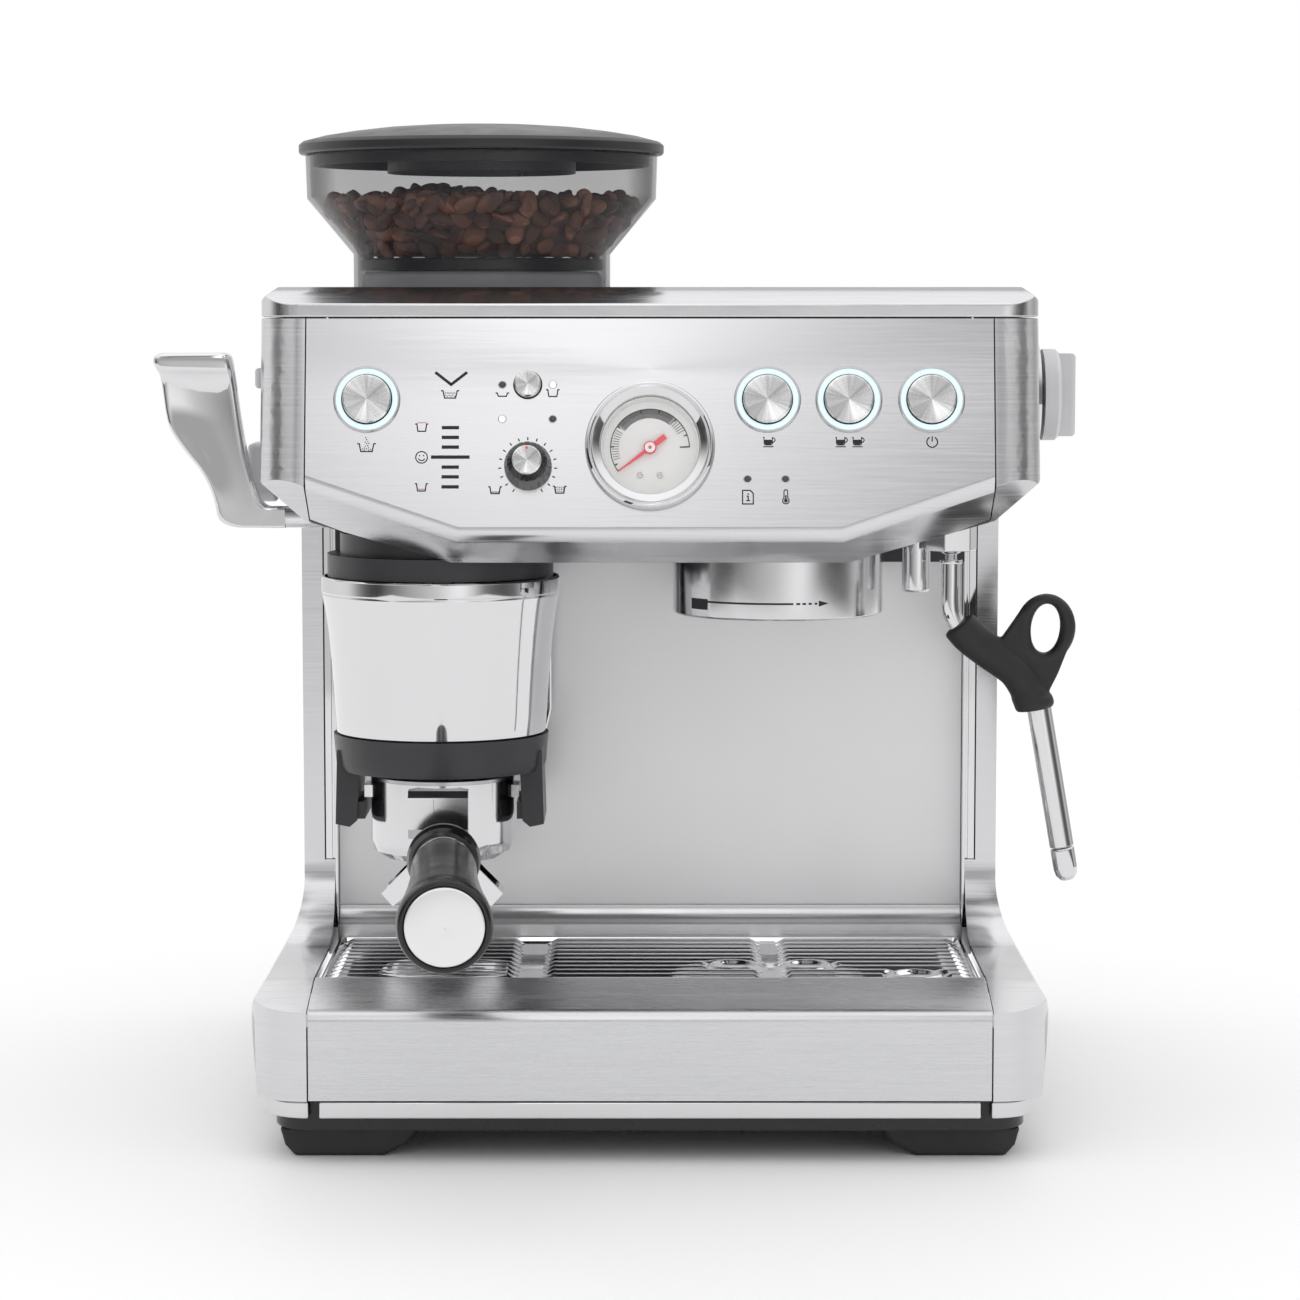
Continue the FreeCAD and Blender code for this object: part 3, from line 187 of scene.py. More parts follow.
def plastic(name, color, rough=(0.38, 0.52), grain=1400.0, strength=0.12, color2=None):
    m = shader(name, color, 0.0, rough[0])
    p = m.node_tree.nodes["Principled BSDF"]
    link(m, ramp_range(m, noise_out(m, 46.0, 4, 0.6), rough[0], rough[1]), p.inputs["Roughness"])
    other = color2 or tuple(min(1.0, c * 1.25 + 0.004) for c in color)
    link(m, mix_color(m, ramp_range(m, noise_out(m, 22.0, 3, 0.5), 0, 1), color, other),
         p.inputs["Base Color"])
    bump(m, noise_out(m, grain, 3, 0.6), strength, 0.00008)
    return m


# Painted highlight and painted shade of a spun face, as wedges in the base colour: direction on the face,
# sharpness, strength.
PAINTED_SHEEN_WEDGES = [((-0.60, 0.80, 0), 6, 0.75), ((0.98, 0.20, 0), 7, 0.45), ((0.35, 0.94, 0), 9, 0.35)]


def spun(name, light=(0.98, 0.98, 0.98), dark=(0.30, 0.30, 0.31)):
    """Lathe-turned face: fine rings, and light and dark wedges painted into the base colour as painted
    highlight and painted shade.
    """
    m = shader(name, light, 1.0, 0.26, Anisotropic=0.8, Anisotropic_Rotation=0.25)
    p = m.node_tree.nodes["Principled BSDF"]
    tc = node(m, "ShaderNodeTexCoord")
    sep = node(m, "ShaderNodeSeparateXYZ")
    link(m, tc.outputs["Object"], sep.inputs[0])
    flat = node(m, "ShaderNodeCombineXYZ")
    link(m, sep.outputs["X"], flat.inputs["X"])
    link(m, sep.outputs["Y"], flat.inputs["Y"])
    length = node(m, "ShaderNodeVectorMath", operation="LENGTH")
    link(m, flat.outputs[0], length.inputs[0])
    rings = node(m, "ShaderNodeTexNoise", noise_dimensions="1D")
    rings.inputs["Scale"].default_value = 3500
    rings.inputs["Detail"].default_value = 3
    link(m, length.outputs["Value"], rings.inputs["W"])
    unit = node(m, "ShaderNodeVectorMath", operation="NORMALIZE")
    link(m, flat.outputs[0], unit.inputs[0])
    # Wedges of painted highlight and painted shade, by direction on the face, with angular noise that breaks
    # them into streaks.
    painted_wedge = 0.0
    for towards, power, weight in PAINTED_SHEEN_WEDGES:
        dot = node(m, "ShaderNodeVectorMath", operation="DOT_PRODUCT")
        dot.inputs[1].default_value = towards
        link(m, unit.outputs[0], dot.inputs[0])
        lobe = calc(m, "POWER", calc(m, "ABSOLUTE", dot.outputs["Value"]), power)
        painted_wedge = calc(m, "ADD", painted_wedge, calc(m, "MULTIPLY", lobe, weight))
    painted_fan = node(m, "ShaderNodeTexNoise", noise_dimensions="3D")
    painted_fan.inputs["Scale"].default_value = 5.5
    painted_fan.inputs["Detail"].default_value = 4
    link(m, unit.outputs[0], painted_fan.inputs["Vector"])
    painted_streak = calc(m, "ADD", painted_wedge, ramp_range(m, painted_fan.outputs["Fac"], -0.02, 0.36, 0.3, 0.7))
    grain = calc(m, "MULTIPLY", painted_streak, ramp_range(m, rings.outputs["Fac"], 0.9, 1.1))
    # The painted highlight and painted shade go into the base colour; the rings vary it only a little.
    link(m, mix_color(m, ramp_range(m, grain, 0, 1, 0.0, 1.0), dark, light), p.inputs["Base Color"])
    link(m, ramp_range(m, rings.outputs["Fac"], 0.22, 0.32), p.inputs["Roughness"])
    t = node(m, "ShaderNodeTangent", direction_type="RADIAL", axis="Z")
    link(m, t.outputs["Tangent"], p.inputs["Tangent"])
    bump(m, rings.outputs["Fac"], 0.03, 0.00004)
    return m


def clear(name, color, alpha, edge=0.5, rough=0.05):
    """Thin clear moulding: faint straight on, denser where the wall is seen edge on."""
    m = shader(name, color, 0.0, rough, IOR=1.45)
    p = m.node_tree.nodes["Principled BSDF"]
    facing = node(m, "ShaderNodeLayerWeight", Blend=0.35)
    link(m, ramp_range(m, facing.outputs["Facing"], alpha, alpha + edge, 0.35, 1.0), p.inputs["Alpha"])
    link(m, ramp_range(m, noise_out(m, 30.0, 4, 0.6), rough, rough + 0.06), p.inputs["Roughness"])
    return m


def glowing(name, color, strength):
    m = shader(name, color, 0.0, 0.35)
    p = m.node_tree.nodes["Principled BSDF"]
    p.inputs["Emission Color"].default_value = (*color, 1)
    p.inputs["Emission Strength"].default_value = strength
    link(m, ramp_range(m, noise_out(m, 300.0, 2, 0.5), 0.3, 0.42), p.inputs["Roughness"])
    return m


STEEL = brushed("brushed_sheet", (16, 16, 1300))
STEEL_TRAY = brushed("brushed_tray", (16, 16, 1300), rough=(0.24, 0.32))
STEEL_TOP = brushed("brushed_top", (16, 1300, 60))
CHROME = polished("polished_steel")
MIRROR = polished("polished_sheet", (0.80, 0.80, 0.81), (0.30, 0.34))
MIRROR.node_tree.nodes["Principled BSDF"].inputs["Metallic"].default_value = 0.55
COVE = polished("cove_sheet", (0.76, 0.76, 0.77), (0.20, 0.26))
COVE.node_tree.nodes["Principled BSDF"].inputs["Metallic"].default_value = 0.75
CAST = polished("cast_chrome", (0.68, 0.68, 0.69), (0.09, 0.16))
SATIN = polished("satin_steel", (0.62, 0.62, 0.63), (0.25, 0.38))
BLACK = plastic("black_moulding", (0.005, 0.005, 0.006), (0.20, 0.34))
GLOSS_BLACK = plastic("handle_black", (0.004, 0.004, 0.0045), (0.16, 0.28), 900, 0.06)
CHARCOAL = plastic("charcoal_moulding", (0.022, 0.022, 0.025), (0.30, 0.42))
RUBBER = plastic("soft_rubber", (0.009, 0.009, 0.010), (0.46, 0.62), 2600, 0.35)
PALE = plastic("pale_moulding", (0.50, 0.50, 0.51), (0.34, 0.46))
LID = plastic("lid_moulding", (0.012, 0.0125, 0.014), (0.26, 0.40))
SMOKE = clear("smoked_clear", (0.05, 0.05, 0.055), 0.22, 0.7)
CLEAR = clear("clear_sheet", (0.75, 0.78, 0.8), 0.03, 0.2, 0.02)
TANK = clear("tank_clear", (0.30, 0.33, 0.35), 0.30, 0.5)
GLOW = glowing("lit_ring", (0.78, 0.93, 0.96), 0.20)
LAMP_OFF = plastic("lamp_window", (0.05, 0.05, 0.05), (0.2, 0.3))
LAMP_ON = glowing("lamp_lit", (0.92, 0.95, 0.92), 0.55)
INK = plastic("printed_ink", (0.006, 0.006, 0.007), (0.45, 0.55))
SCALE_GREY = plastic("scale_grey", (0.50, 0.50, 0.51), (0.4, 0.5), 500, 0.03, (0.42, 0.42, 0.43))
RED_INK = plastic("printed_red", (0.40, 0.12, 0.13), (0.4, 0.5))
NEEDLE = plastic("needle_red", (0.75, 0.06, 0.08), (0.25, 0.35))
DIAL = plastic("dial_white", (0.92, 0.92, 0.91), (0.4, 0.5), 500, 0.03, (0.82, 0.82, 0.81))
BEAN = plastic("roasted_bean", (0.16, 0.060, 0.032), (0.26, 0.42), 700, 0.3, (0.24, 0.095, 0.052))
BEAN_2 = plastic("roasted_bean_dark", (0.085, 0.032, 0.018), (0.26, 0.42), 700, 0.3, (0.15, 0.055, 0.03))
BEAN_3 = plastic("roasted_bean_light", (0.23, 0.095, 0.055), (0.28, 0.45), 700, 0.3, (0.31, 0.135, 0.08))
BEAN_4 = plastic("roasted_bean_deep", (0.045, 0.018, 0.011), (0.26, 0.42), 700, 0.3, (0.09, 0.034, 0.02))
COLLAR = plastic("collar_grey", (0.34, 0.34, 0.36), (0.25, 0.38))
GROUP_METAL = polished("group_metal", (0.68, 0.68, 0.69), (0.12, 0.2))
GRID = polished("grid_metal", (0.86, 0.86, 0.87), (0.04, 0.08))
SPUN_PAINTED_SHEEN = spun("spun_metal_painted_sheen")


# ---------------------------------------------------------------- mesh tools

def finish_mesh(name, bm, material, body, replaces=(), smooth_deg=32, matrix=None):
    bmesh.ops.remove_doubles(bm, verts=bm.verts, dist=1e-7)
    bmesh.ops.recalc_face_normals(bm, faces=bm.faces)
    for f in bm.faces:
        f.smooth = True
    limit = math.radians(smooth_deg)
    for e in bm.edges:
        if len(e.link_faces) == 2 and e.calc_face_angle(0) > limit:
            e.smooth = False
    me = bpy.data.meshes.new(name)
    bm.to_mesh(me)
    bm.free()
    ob = new_object(name, me)
    for one in material if isinstance(material, (list, tuple)) else (material,):
        me.materials.append(one)
    if matrix is not None:
        ob.matrix_world = matrix
    bpy.context.view_layer.update()
    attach(ob, body)
    if replaces:
        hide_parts(*([replaces] if isinstance(replaces, str) else replaces))
    return ob


def body_of_node(name):
    return next(b for b, list_ in frame["record"]["behaviour"]["bodies"].items() if name in list_)


def bevel_some(bm, pick, offset, segments):
    edges = []
    for e in bm.edges:
        if len(e.link_faces) == 2 and e.calc_face_angle(0) > math.radians(18):
            a, b = (f.normal for f in e.link_faces)
            if pick(e, a, b):
                edges.append(e)
    if edges:
        bmesh.ops.bevel(bm, geom=edges, offset=offset, segments=segments, profile=0.5, affect="EDGES",
                        clamp_overlap=True)


def refine(name, material, soft=0.5, segments=3, picks=(), min_angle=28, new_name=None, smooth_deg=35):
    """A finished copy of a CAD piece: flat areas cleaned up, chosen edges rounded wide and the rest eased."""
    src = NODES[name]
    bm = bmesh.new()
    bm.from_mesh(src.data)
    bmesh.ops.remove_doubles(bm, verts=bm.verts, dist=1e-6)
    bmesh.ops.dissolve_limit(bm, angle_limit=math.radians(0.6), verts=bm.verts, edges=bm.edges)
    bm.normal_update()
    for pick, offset, count in picks:
        bevel_some(bm, pick, offset * MM, count)
        bm.normal_update()
    if soft:
        edges = [e for e in bm.edges if len(e.link_faces) == 2
                 and e.calc_face_angle(0) > math.radians(min_angle) and e.calc_length() > 0.6 * MM]
        bmesh.ops.bevel(bm, geom=edges, offset=soft * MM, segments=segments, profile=0.5, affect="EDGES",
                        clamp_overlap=True)
    ob = finish_mesh(new_name or name + "_finish", bm, material, body_of_node(name), name, smooth_deg)
    flat = ob.modifiers.new("flat_normals", "WEIGHTED_NORMAL")
    flat.weight = 90
    flat.keep_sharp = True
    return ob


def rounded(points, radius, steps=4):
    """Closed outline with each corner turned into a short arc; a point may carry its own radius."""
    out = []
    count = len(points)
    for i in range(count):
        p = Vector(points[i][:2])
        r = points[i][2] if len(points[i]) > 2 else radius
        a = Vector(points[i - 1][:2]) - p
        b = Vector(points[(i + 1) % count][:2]) - p
        if r <= 0 or a.length < 1e-6 or b.length < 1e-6:
            out.append(p)
            continue
        angle = a.angle(b)
        if angle > math.radians(172):
            out.append(p)
            continue
        reach = min(r / math.tan(angle / 2), a.length * 0.48, b.length * 0.48)
        start, end = p + a.normalized() * reach, p + b.normalized() * reach
        for k in range(steps + 1):
            t = k / steps
            out.append(start * (1 - t) ** 2 + p * 2 * t * (1 - t) + end * t ** 2)
    return out


def prism(bm, low, high):
    low, high = ([bm.verts.new(v) for v in side] for side in (low, high))
    bm.faces.new(low)
    bm.faces.new(high)
    for i in range(len(low)):
        j = (i + 1) % len(low)
        bm.faces.new((low[i], low[j], high[j], high[i]))


def along(start, axis):
    """Matrix with its origin at start and its Z along axis."""
    turn = Vector((0, 0, 1)).rotation_difference(Vector(axis).normalized()).to_matrix().to_4x4()
    return Matrix.Translation(start) @ turn


def turned_rings(bm, profile, place, radius, segments, steps, pick=None, index=0):
    ring = rounded(profile, radius, steps)
    n = len(ring)
    columns = []
    for k in range(segments):
        c, q = math.cos(2 * math.pi * k / segments), math.sin(2 * math.pi * k / segments)
        columns.append([bm.verts.new(place @ Vector((max(r, 0) * c * MM, max(r, 0) * q * MM, h * MM)))
                        for r, h in ring])
    for k in range(segments):
        c0, c1 = columns[k], columns[(k + 1) % segments]
        for j in range(n):
            j2 = (j + 1) % n
            if ring[j][0] <= 1e-6 and ring[j2][0] <= 1e-6:
                continue
            f = bm.faces.new([c0[j], c1[j], c1[j2], c0[j2]])
            if pick:
                f.material_index = pick(index, (ring[j][0] + ring[j2][0]) / 2,
                                        (ring[j][1] + ring[j2][1]) / 2)


def lathe(name, nodes, profile, place, material, radius=0.4, segments=96, body=None, steps=4, pick=None):
    """Solid of revolution about the Z of place; profile is a closed outline of (radius, height) in mm."""
    bm = bmesh.new()
    turned_rings(bm, profile, Matrix.Identity(4), radius, segments, steps, pick)
    first = nodes if isinstance(nodes, str) else (nodes[0] if nodes else None)
    return finish_mesh(name, bm, material, body or body_of_node(first), nodes, 34, place)


def lathe_many(name, nodes, profile, places, material, radius=0.3, segments=96, body="machine", pick=None,
               steps=3):
    """The same turned ring set at several places, as one piece."""
    bm = bmesh.new()
    for index, place in enumerate(places):
        turned_rings(bm, profile, place, radius, segments, steps, pick, index)
    return finish_mesh(name, bm, material, body, nodes, 34)


def fascia_y(z):
    return 8.0 + 0.2 * (z - 262.0)


OUT = Vector((0, -1, 0.2)).normalized()
UP = Vector((0, 0.2, 1)).normalized()
RIGHT = Vector((1, 0, 0))


def on_fascia(x, z, lift=0.0):
    """Matrix with X to the right, Y up the sloping front and Z out of it, at x, z millimetres."""
    m = Matrix((RIGHT, UP, OUT)).transposed().to_4x4()
    return Matrix.Translation(P(x, fascia_y(z), z) + OUT * lift * MM) @ m


class Print:
    """Collects thin printed marks on the front and makes one piece of them."""

    def __init__(self, name, material, body="machine", depth=0.05):
        self.bm = bmesh.new()
        self.name, self.material, self.body, self.depth = name, material, body, depth

    def poly(self, place, points):
        rims = ([place @ Vector((x * MM, y * MM, h * MM)) for x, y in points] for h in (0, self.depth))
        prism(self.bm, *rims)

    def stroke(self, place, points, width, closed=False):
        width *= 1.45 if width < 0.5 else 1.0
        pts = [Vector(p) for p in points]
        if closed:
            pts.append(pts[0])
        for a, b in zip(pts, pts[1:]):
            d = (b - a).normalized() * width * 0.5
            s = Vector((-d.y, d.x))
            a2, b2 = a - d * 0.6, b + d * 0.6
            self.poly(place, [a2 - s, b2 - s, b2 + s, a2 + s])

    def disc(self, place, x, y, r, steps=20):
        self.poly(place, [(x + r * math.cos(2 * math.pi * k / steps),
                           y + r * math.sin(2 * math.pi * k / steps))
                          for k in range(steps)])

    def arc(self, place, x, y, r, a0, a1, width, steps=24):
        pts = []
        for k in range(steps + 1):
            a = math.radians(a0 + (a1 - a0) * k / steps)
            pts.append((x + r * math.cos(a), y + r * math.sin(a)))
        self.stroke(place, pts, width)

    def done(self):
        return finish_mesh(self.name, self.bm, self.material, self.body)


# ---------------------------------------------------------------- more shapes

def catmull(points, per):
    """Smooth curve through the points, which may be numbers of any one length."""
    pts = [Vector(p) for p in points]
    out = []
    for i in range(len(pts) - 1):
        p0, p1 = pts[max(i - 1, 0)], pts[i]
        p2, p3 = pts[i + 1], pts[min(i + 2, len(pts) - 1)]
        for k in range(per):
            t = k / per
            out.append(0.5 * ((2 * p1) + (p2 - p0) * t + (2 * p0 - 5 * p1 + 4 * p2 - p3) * t * t
                              + (3 * p1 - p0 - 3 * p2 + p3) * t ** 3))
    out.append(pts[-1])
    return out


def loft(bm, rings, close=True, caps=True, material=0):
    rows = [[bm.verts.new(v) for v in ring] for ring in rings]
    n = len(rows[0])
    for a, b in zip(rows, rows[1:]):
        for k in range(n if close else n - 1):
            f = bm.faces.new((a[k], a[(k + 1) % n], b[(k + 1) % n], b[k]))
            f.material_index = material
    if caps:
        for row in (rows[0], rows[-1]):
            f = bm.faces.new(row)
            f.material_index = material


def sweep(bm, path, radii, segments=32, material=0):
    """Round tube along a path of points in metres; radii in metres, one for each point."""
    side = Vector((0, 1, 0))
    angles = [2 * math.pi * k / segments for k in range(segments)]
    rings = []
    for i, p in enumerate(path):
        d = (path[min(i + 1, len(path) - 1)] - path[max(i - 1, 0)]).normalized()
        s = (side - d * side.dot(d)).normalized()
        u = d.cross(s)
        side = s
        rings.append([p + (s * math.cos(a) + u * math.sin(a)) * radii[i] for a in angles])
    loft(bm, rings, material=material)


def gap_fill(value, low, high):
    return max(low, min(high, value))


# ---------------------------------------------------------------- casing

def outer_front(e, a, b):
    return a.y < -0.25 and b.y < -0.25


refine("front_fascia", STEEL, 0.35, 2, [(outer_front, 4.5, 10)], smooth_deg=30)


def side_pick(sign):
    """Long outer folds of a side: the front corners, the shoulders of the base and the foot of the head."""
    def pick(e, a, b):
        c = (e.verts[0].co + e.verts[1].co) / 2
        x = (c.x - X0) / MM * sign
        y = (c.y - Y0) / MM
        z = c.z / MM
        front = a.y < -0.2 and b.y < -0.2
        outer = a.x * sign > 0.2 or b.x * sign > 0.2 or a.y < -0.3 or b.y < -0.3
        shoulder = z < 72 and (a.z > 0.15 or b.z > 0.15) and outer
        corner = (a.x * sign > 0.7 or b.x * sign > 0.7) and (a.y < -0.7 or b.y < -0.7)
        column = y < 141 and z > 95 and x > 147 and corner
        chamfer = 250 < z < 276 and a.x * sign > 0.2 and b.x * sign > 0.2
        return e.is_convex and (front or shoulder or column or chamfer)
    return pick


refine("left_side_panel", STEEL, 0.3, 2, [(side_pick(-1), 3.2, 6)], smooth_deg=30)
refine("right_side_panel", STEEL, 0.3, 2, [(side_pick(1), 3.2, 6)], smooth_deg=30)
refine("top_cover", STEEL_TOP, 1.1, 4)
refine("rear_cover", STEEL, 0.4, 2)
refine("drip_tray_front", STEEL_TRAY, 0.3, 2,
       [(lambda e, a, b: a.y < -0.1 and b.y < -0.1 and e.is_convex, 4.0, 8)], smooth_deg=30)
refine("base_trim", CHROME, 0.8, 4)
refine("base_housing", BLACK, 0.8, 3)
refine("rubber_feet", RUBBER, 1.6, 4)
refine("head_underpan", CHARCOAL, 0.3, 2)
refine("shroud_backplate", [BLACK, CHROME], 0.8, 4)
refine("portafilter_cradle", CHARCOAL, 1.6, 4)
refine("steam_dial", PALE, 0.8, 4)
refine("grind_size_dial", PALE, 0.8, 4)
refine("lever_side_housing", PALE, 2.0, 5)
refine("tank_lid", BLACK, 0.8, 4)
refine("drip_tray_pan", BLACK, 0.5, 2)
refine("portafilter_spout", CHROME, 0.5, 3)
refine("steam_nut", CAST, 0.5, 3)
refine("portafilter_bowl", CAST, 0.7, 3)
back = refine("backsplash", [MIRROR, CHROME, COVE], 0.3, 3)
for face in back.data.polygons:
    x = abs(face.center.x - X0) / MM
    z = face.center.z / MM
    face.material_index = 1 if x > 135.0 else 2 if z < 79.9 else 0
edge = bpy.data.objects["shroud_backplate_finish"]
for face in edge.data.polygons:
    face.material_index = 1 if (face.center.x - X0) / MM > -44.6 else 0

PLAIN = {
    "case_screws": CHROME, "cord_gland": BLACK, "chassis": SATIN, "filter_basket": SATIN,
         "water_tank": TANK,
    "cone_burr": SATIN, "tamper": SATIN, "shower_screen": SATIN, "thermocoil": SATIN,
         "wand_swivel_cup": CHROME,
    "lever_shaft": CHROME, "gauge_glass": CLEAR, "steam_dial_bezel": CHROME,
}
for name, material in PLAIN.items():
    me = NODES[name].data
    me.materials.clear()
    me.materials.append(material)
    for poly in me.polygons:
        poly.use_smooth = True
    me.set_sharp_from_angle(angle=math.radians(30))

# ---------------------------------------------------------------- front controls

BUTTONS = {"dose_button": (-111.6, 303.0), "one_cup_button": (46.3, 303.0), "two_cup_button": (78.4, 303.0),
           "power_button": (111.0, 303.0)}
for name, (x, z) in BUTTONS.items():
    lathe(name + "_face", name, [(0, -3.5), (9.65, -3.5), (9.65, 2.2), (9.1, 2.75), (8.7, 2.75), (0, 2.1)],
          on_fascia(x, z), SPUN_PAINTED_SHEEN, 0.25, 128, steps=3)
lathe("filter_button_face", "filter_button",
      [(0, -5), (5.25, -5), (5.25, 3.2), (4.7, 3.9), (4.4, 3.9), (0, 3.3)], on_fascia(-48.2, 308.8), SPUN_PAINTED_SHEEN,
      0.2, 96, steps=3)
lathe_many("light_rings", "button_rings",
           [(10.0, -3.0), (12.3, -3.0), (12.3, -0.4), (13.2, -0.4), (13.2, 0.6), (12.75, 1.15), (12.3, 1.2),
            (12.15, 0.75), (10.1, 0.75), (10.0, 0.3)],
           [on_fascia(x, z) for x, z in BUTTONS.values()], [GLOW, SATIN], 0.12, 128,
           pick=lambda i, r, h: 1 if r > 12.2 or r < 10.06 else 0, steps=2)
LAMPS = [(-58.2, 308.8, 0), (-38.3, 308.8, 1), (-58.2, 295.4, 1), (-38.3, 295.4, 0), (38.4, 272.0, 0),
         (53.3, 272.0, 0)]
lathe_many("lamp_windows", "indicator_lights", [(0, -2), (1.22, -2), (1.22, 0.25), (0.8, 0.5), (0, 0.6)],
           [on_fascia(x, z) for x, z, lit in LAMPS], [LAMP_OFF, LAMP_ON], 0.15, 32,
           pick=lambda i, r, h: LAMPS[i][2], steps=2)
lathe_many("lamp_collars", (), [(1.25, -0.2), (1.75, -0.2), (1.7, 0.12), (1.45, 0.22), (1.25, 0.12)],
           [on_fascia(x, z) for x, z, lit in LAMPS], SATIN, 0.05, 32, steps=2)

# manual dose knob: dark fluted skirt, spun cap and a red pointer
place = on_fascia(-48.0, 277.0)
bm = bmesh.new()
skirt = rounded([(0, -6), (3.0, -6), (3.0, 0.5), (9.35, 0.5), (9.35, 2.4), (8.8, 6.0), (7.9, 12),
                 (6.5, 14.6), (5.9, 15.6), (0, 15.6)], 0.5, 3)
columns = []
for k in range(144):
    a = 2 * math.pi * k / 144
    flute = 0.34 * max(0.0, math.cos(a * 18)) ** 3
    ring = [(r - (flute if 3.5 < h < 14.2 and r > 6 else 0), h) for r, h in skirt]
    columns.append([bm.verts.new((r * math.cos(a) * MM, r * math.sin(a) * MM, h * MM)) for r, h in ring])
for k in range(144):
    c0, c1 = columns[k], columns[(k + 1) % 144]
    for j in range(len(skirt) - 1):
        if skirt[j][0] > 1e-6 or skirt[j + 1][0] > 1e-6:
            bm.faces.new((c0[j], c1[j], c1[j + 1], c0[j + 1]))
finish_mesh("dose_knob_skirt", bm, GLOSS_BLACK, "dose_selector", "manual_dose_knob", 40, place)
lathe("dose_knob_cap", (), [(0, 15.0), (5.75, 15.0), (5.75, 16.9), (5.3, 17.4), (4.95, 17.3), (0, 16.7)],
      place, SPUN_PAINTED_SHEEN, 0.2, 96, "dose_selector", 3)
mark = Print("dose_knob_mark", NEEDLE, "dose_selector")
mark.poly(place @ Matrix.Translation((0, 0, 17.3 * MM)), [(-0.5, 4.2), (0.5, 4.2), (0.5, 5.2), (-0.5, 5.2)])
mark.done()

# pressure gauge
GAUGE = on_fascia(0.0, 284.9)
lathe("gauge_ring", "gauge_bezel",
      [(19.6, -7.6), (21.8, -7.6), (21.8, -0.2), (25.6, -0.2), (25.6, 2.6), (25.1, 4.8),
                                    (24.2, 5.6), (23.6, 5.2), (23.3, 5.2), (22.9, 5.9), (19.8, 3.9),
       (19.6, 3.3)],
      GAUGE, CHROME, 0.35, 160, steps=4)
lathe("gauge_inner_wall", (), [(18.6, -5.9), (19.55, -5.9), (19.55, 0.9), (19.2, 1.2)], GAUGE, DIAL, 0.2,
      128, "machine", 3)
lathe("gauge_face", "gauge_dial", [(0, -7.2), (19.4, -7.2), (19.4, -6.0), (0, -6.0)], GAUGE, DIAL, 0.2, 96)
marks = Print("gauge_scale", SCALE_GREY, depth=0.06)
FACE = GAUGE @ Matrix.Translation((0, 0, -5.97 * MM))
for k in range(24):
    a0, a1 = math.radians(50 + 4 * k), math.radians(54 + 4 * k)
    marks.poly(FACE, [(r * math.cos(a), r * math.sin(a)) for r, a in
                      ((12.0, a0), (15.4, a0), (15.4, a1), (12.0, a1))])
marks.done()
ticks = Print("gauge_ticks", INK)
TOP = GAUGE @ Matrix.Translation((0, 0, -5.90 * MM))


def spoke(degrees, r0, r1, width):
    a = math.radians(degrees)
    ticks.stroke(TOP, [(r0 * math.cos(a), r0 * math.sin(a)), (r1 * math.cos(a), r1 * math.sin(a))], width)


for k in range(6):
    spoke(28 + 4.2 * k, 12.2, 15.4, 0.15)
for k in range(12):
    spoke(152 + 4.2 * k, 12.4, 15.0, 0.13)
for degrees in (20, 48, 76, 104, 146, 178, 206):
    spoke(degrees, 14.4, 15.6, 0.34)
spoke(2, 12.0, 15.6, 0.36)
spoke(216, 12.8, 15.6, 0.36)
ticks.arc(TOP, 0, 0, 15.6, 2, 216, 0.24, 72)
ticks.done()
screws = [GAUGE @ Matrix.Translation((x * MM, -10.8 * MM, -5.95 * MM)) for x in (-3.9, 3.9)]
lathe_many("gauge_screws", (),
           [(0, 0), (1.15, 0), (1.15, 0.5), (0.7, 0.8), (0.3, 0.8), (0.3, 0.4), (0, 0.4)], screws, CHROME,
           0.1, 32, steps=2)
bm = bmesh.new()
turn = GAUGE @ Matrix.Rotation(math.radians(37), 4, "Z")
for outline, h0, h1 in (([(-15.6, -0.18), (-15.6, 0.18), (-1, 0.8), (-1, -0.8)], -4.9, -4.2),
                        ([(1, -0.95), (1, 0.95), (7.6, 1.1), (7.6, -1.1)], -4.9, -4.2)):
    prism(bm, *([turn @ Vector((x * MM, y * MM, h * MM)) for x, y in outline] for h in (h0, h1)))
turned_rings(bm, [(0, -8.2), (0.9, -8.2), (0.9, -5.3), (2.55, -5.3), (2.55, -3.7), (2.1, -3.3), (1.7, -3.3),
                  (0.75, -3.3), (0.55, -2.9), (0, -2.8)], turn, 0.15, 48, 2,
             lambda i, r, h: 0 if r > 1.95 or (0.1 < r < 0.7 and h > -3.2) else 1)
finish_mesh("gauge_pointer", bm, [NEEDLE, DIAL], "needle", "gauge_needle", 34)

# printed marks
ink = Print("front_marks", INK)
red = Print("front_marks_red", RED_INK)


def basket(x, z, w, h, dots=(), lid=False):
    """Small open filter basket seen from the side, with ears at the rim."""
    p = on_fascia(x, z, 0.02)
    t = 0.34
    ink.stroke(p, [(-w / 2 - 0.1, h / 2), (-w * 0.41, h / 2), (-w * 0.32, -h / 2), (w * 0.32, -h / 2),
                   (w * 0.41, h / 2), (w / 2 + 0.1, h / 2)], t)
    for dx, dy, red_dot in dots:
        (red if red_dot else ink).disc(p, dx, dy, 0.25, 8)


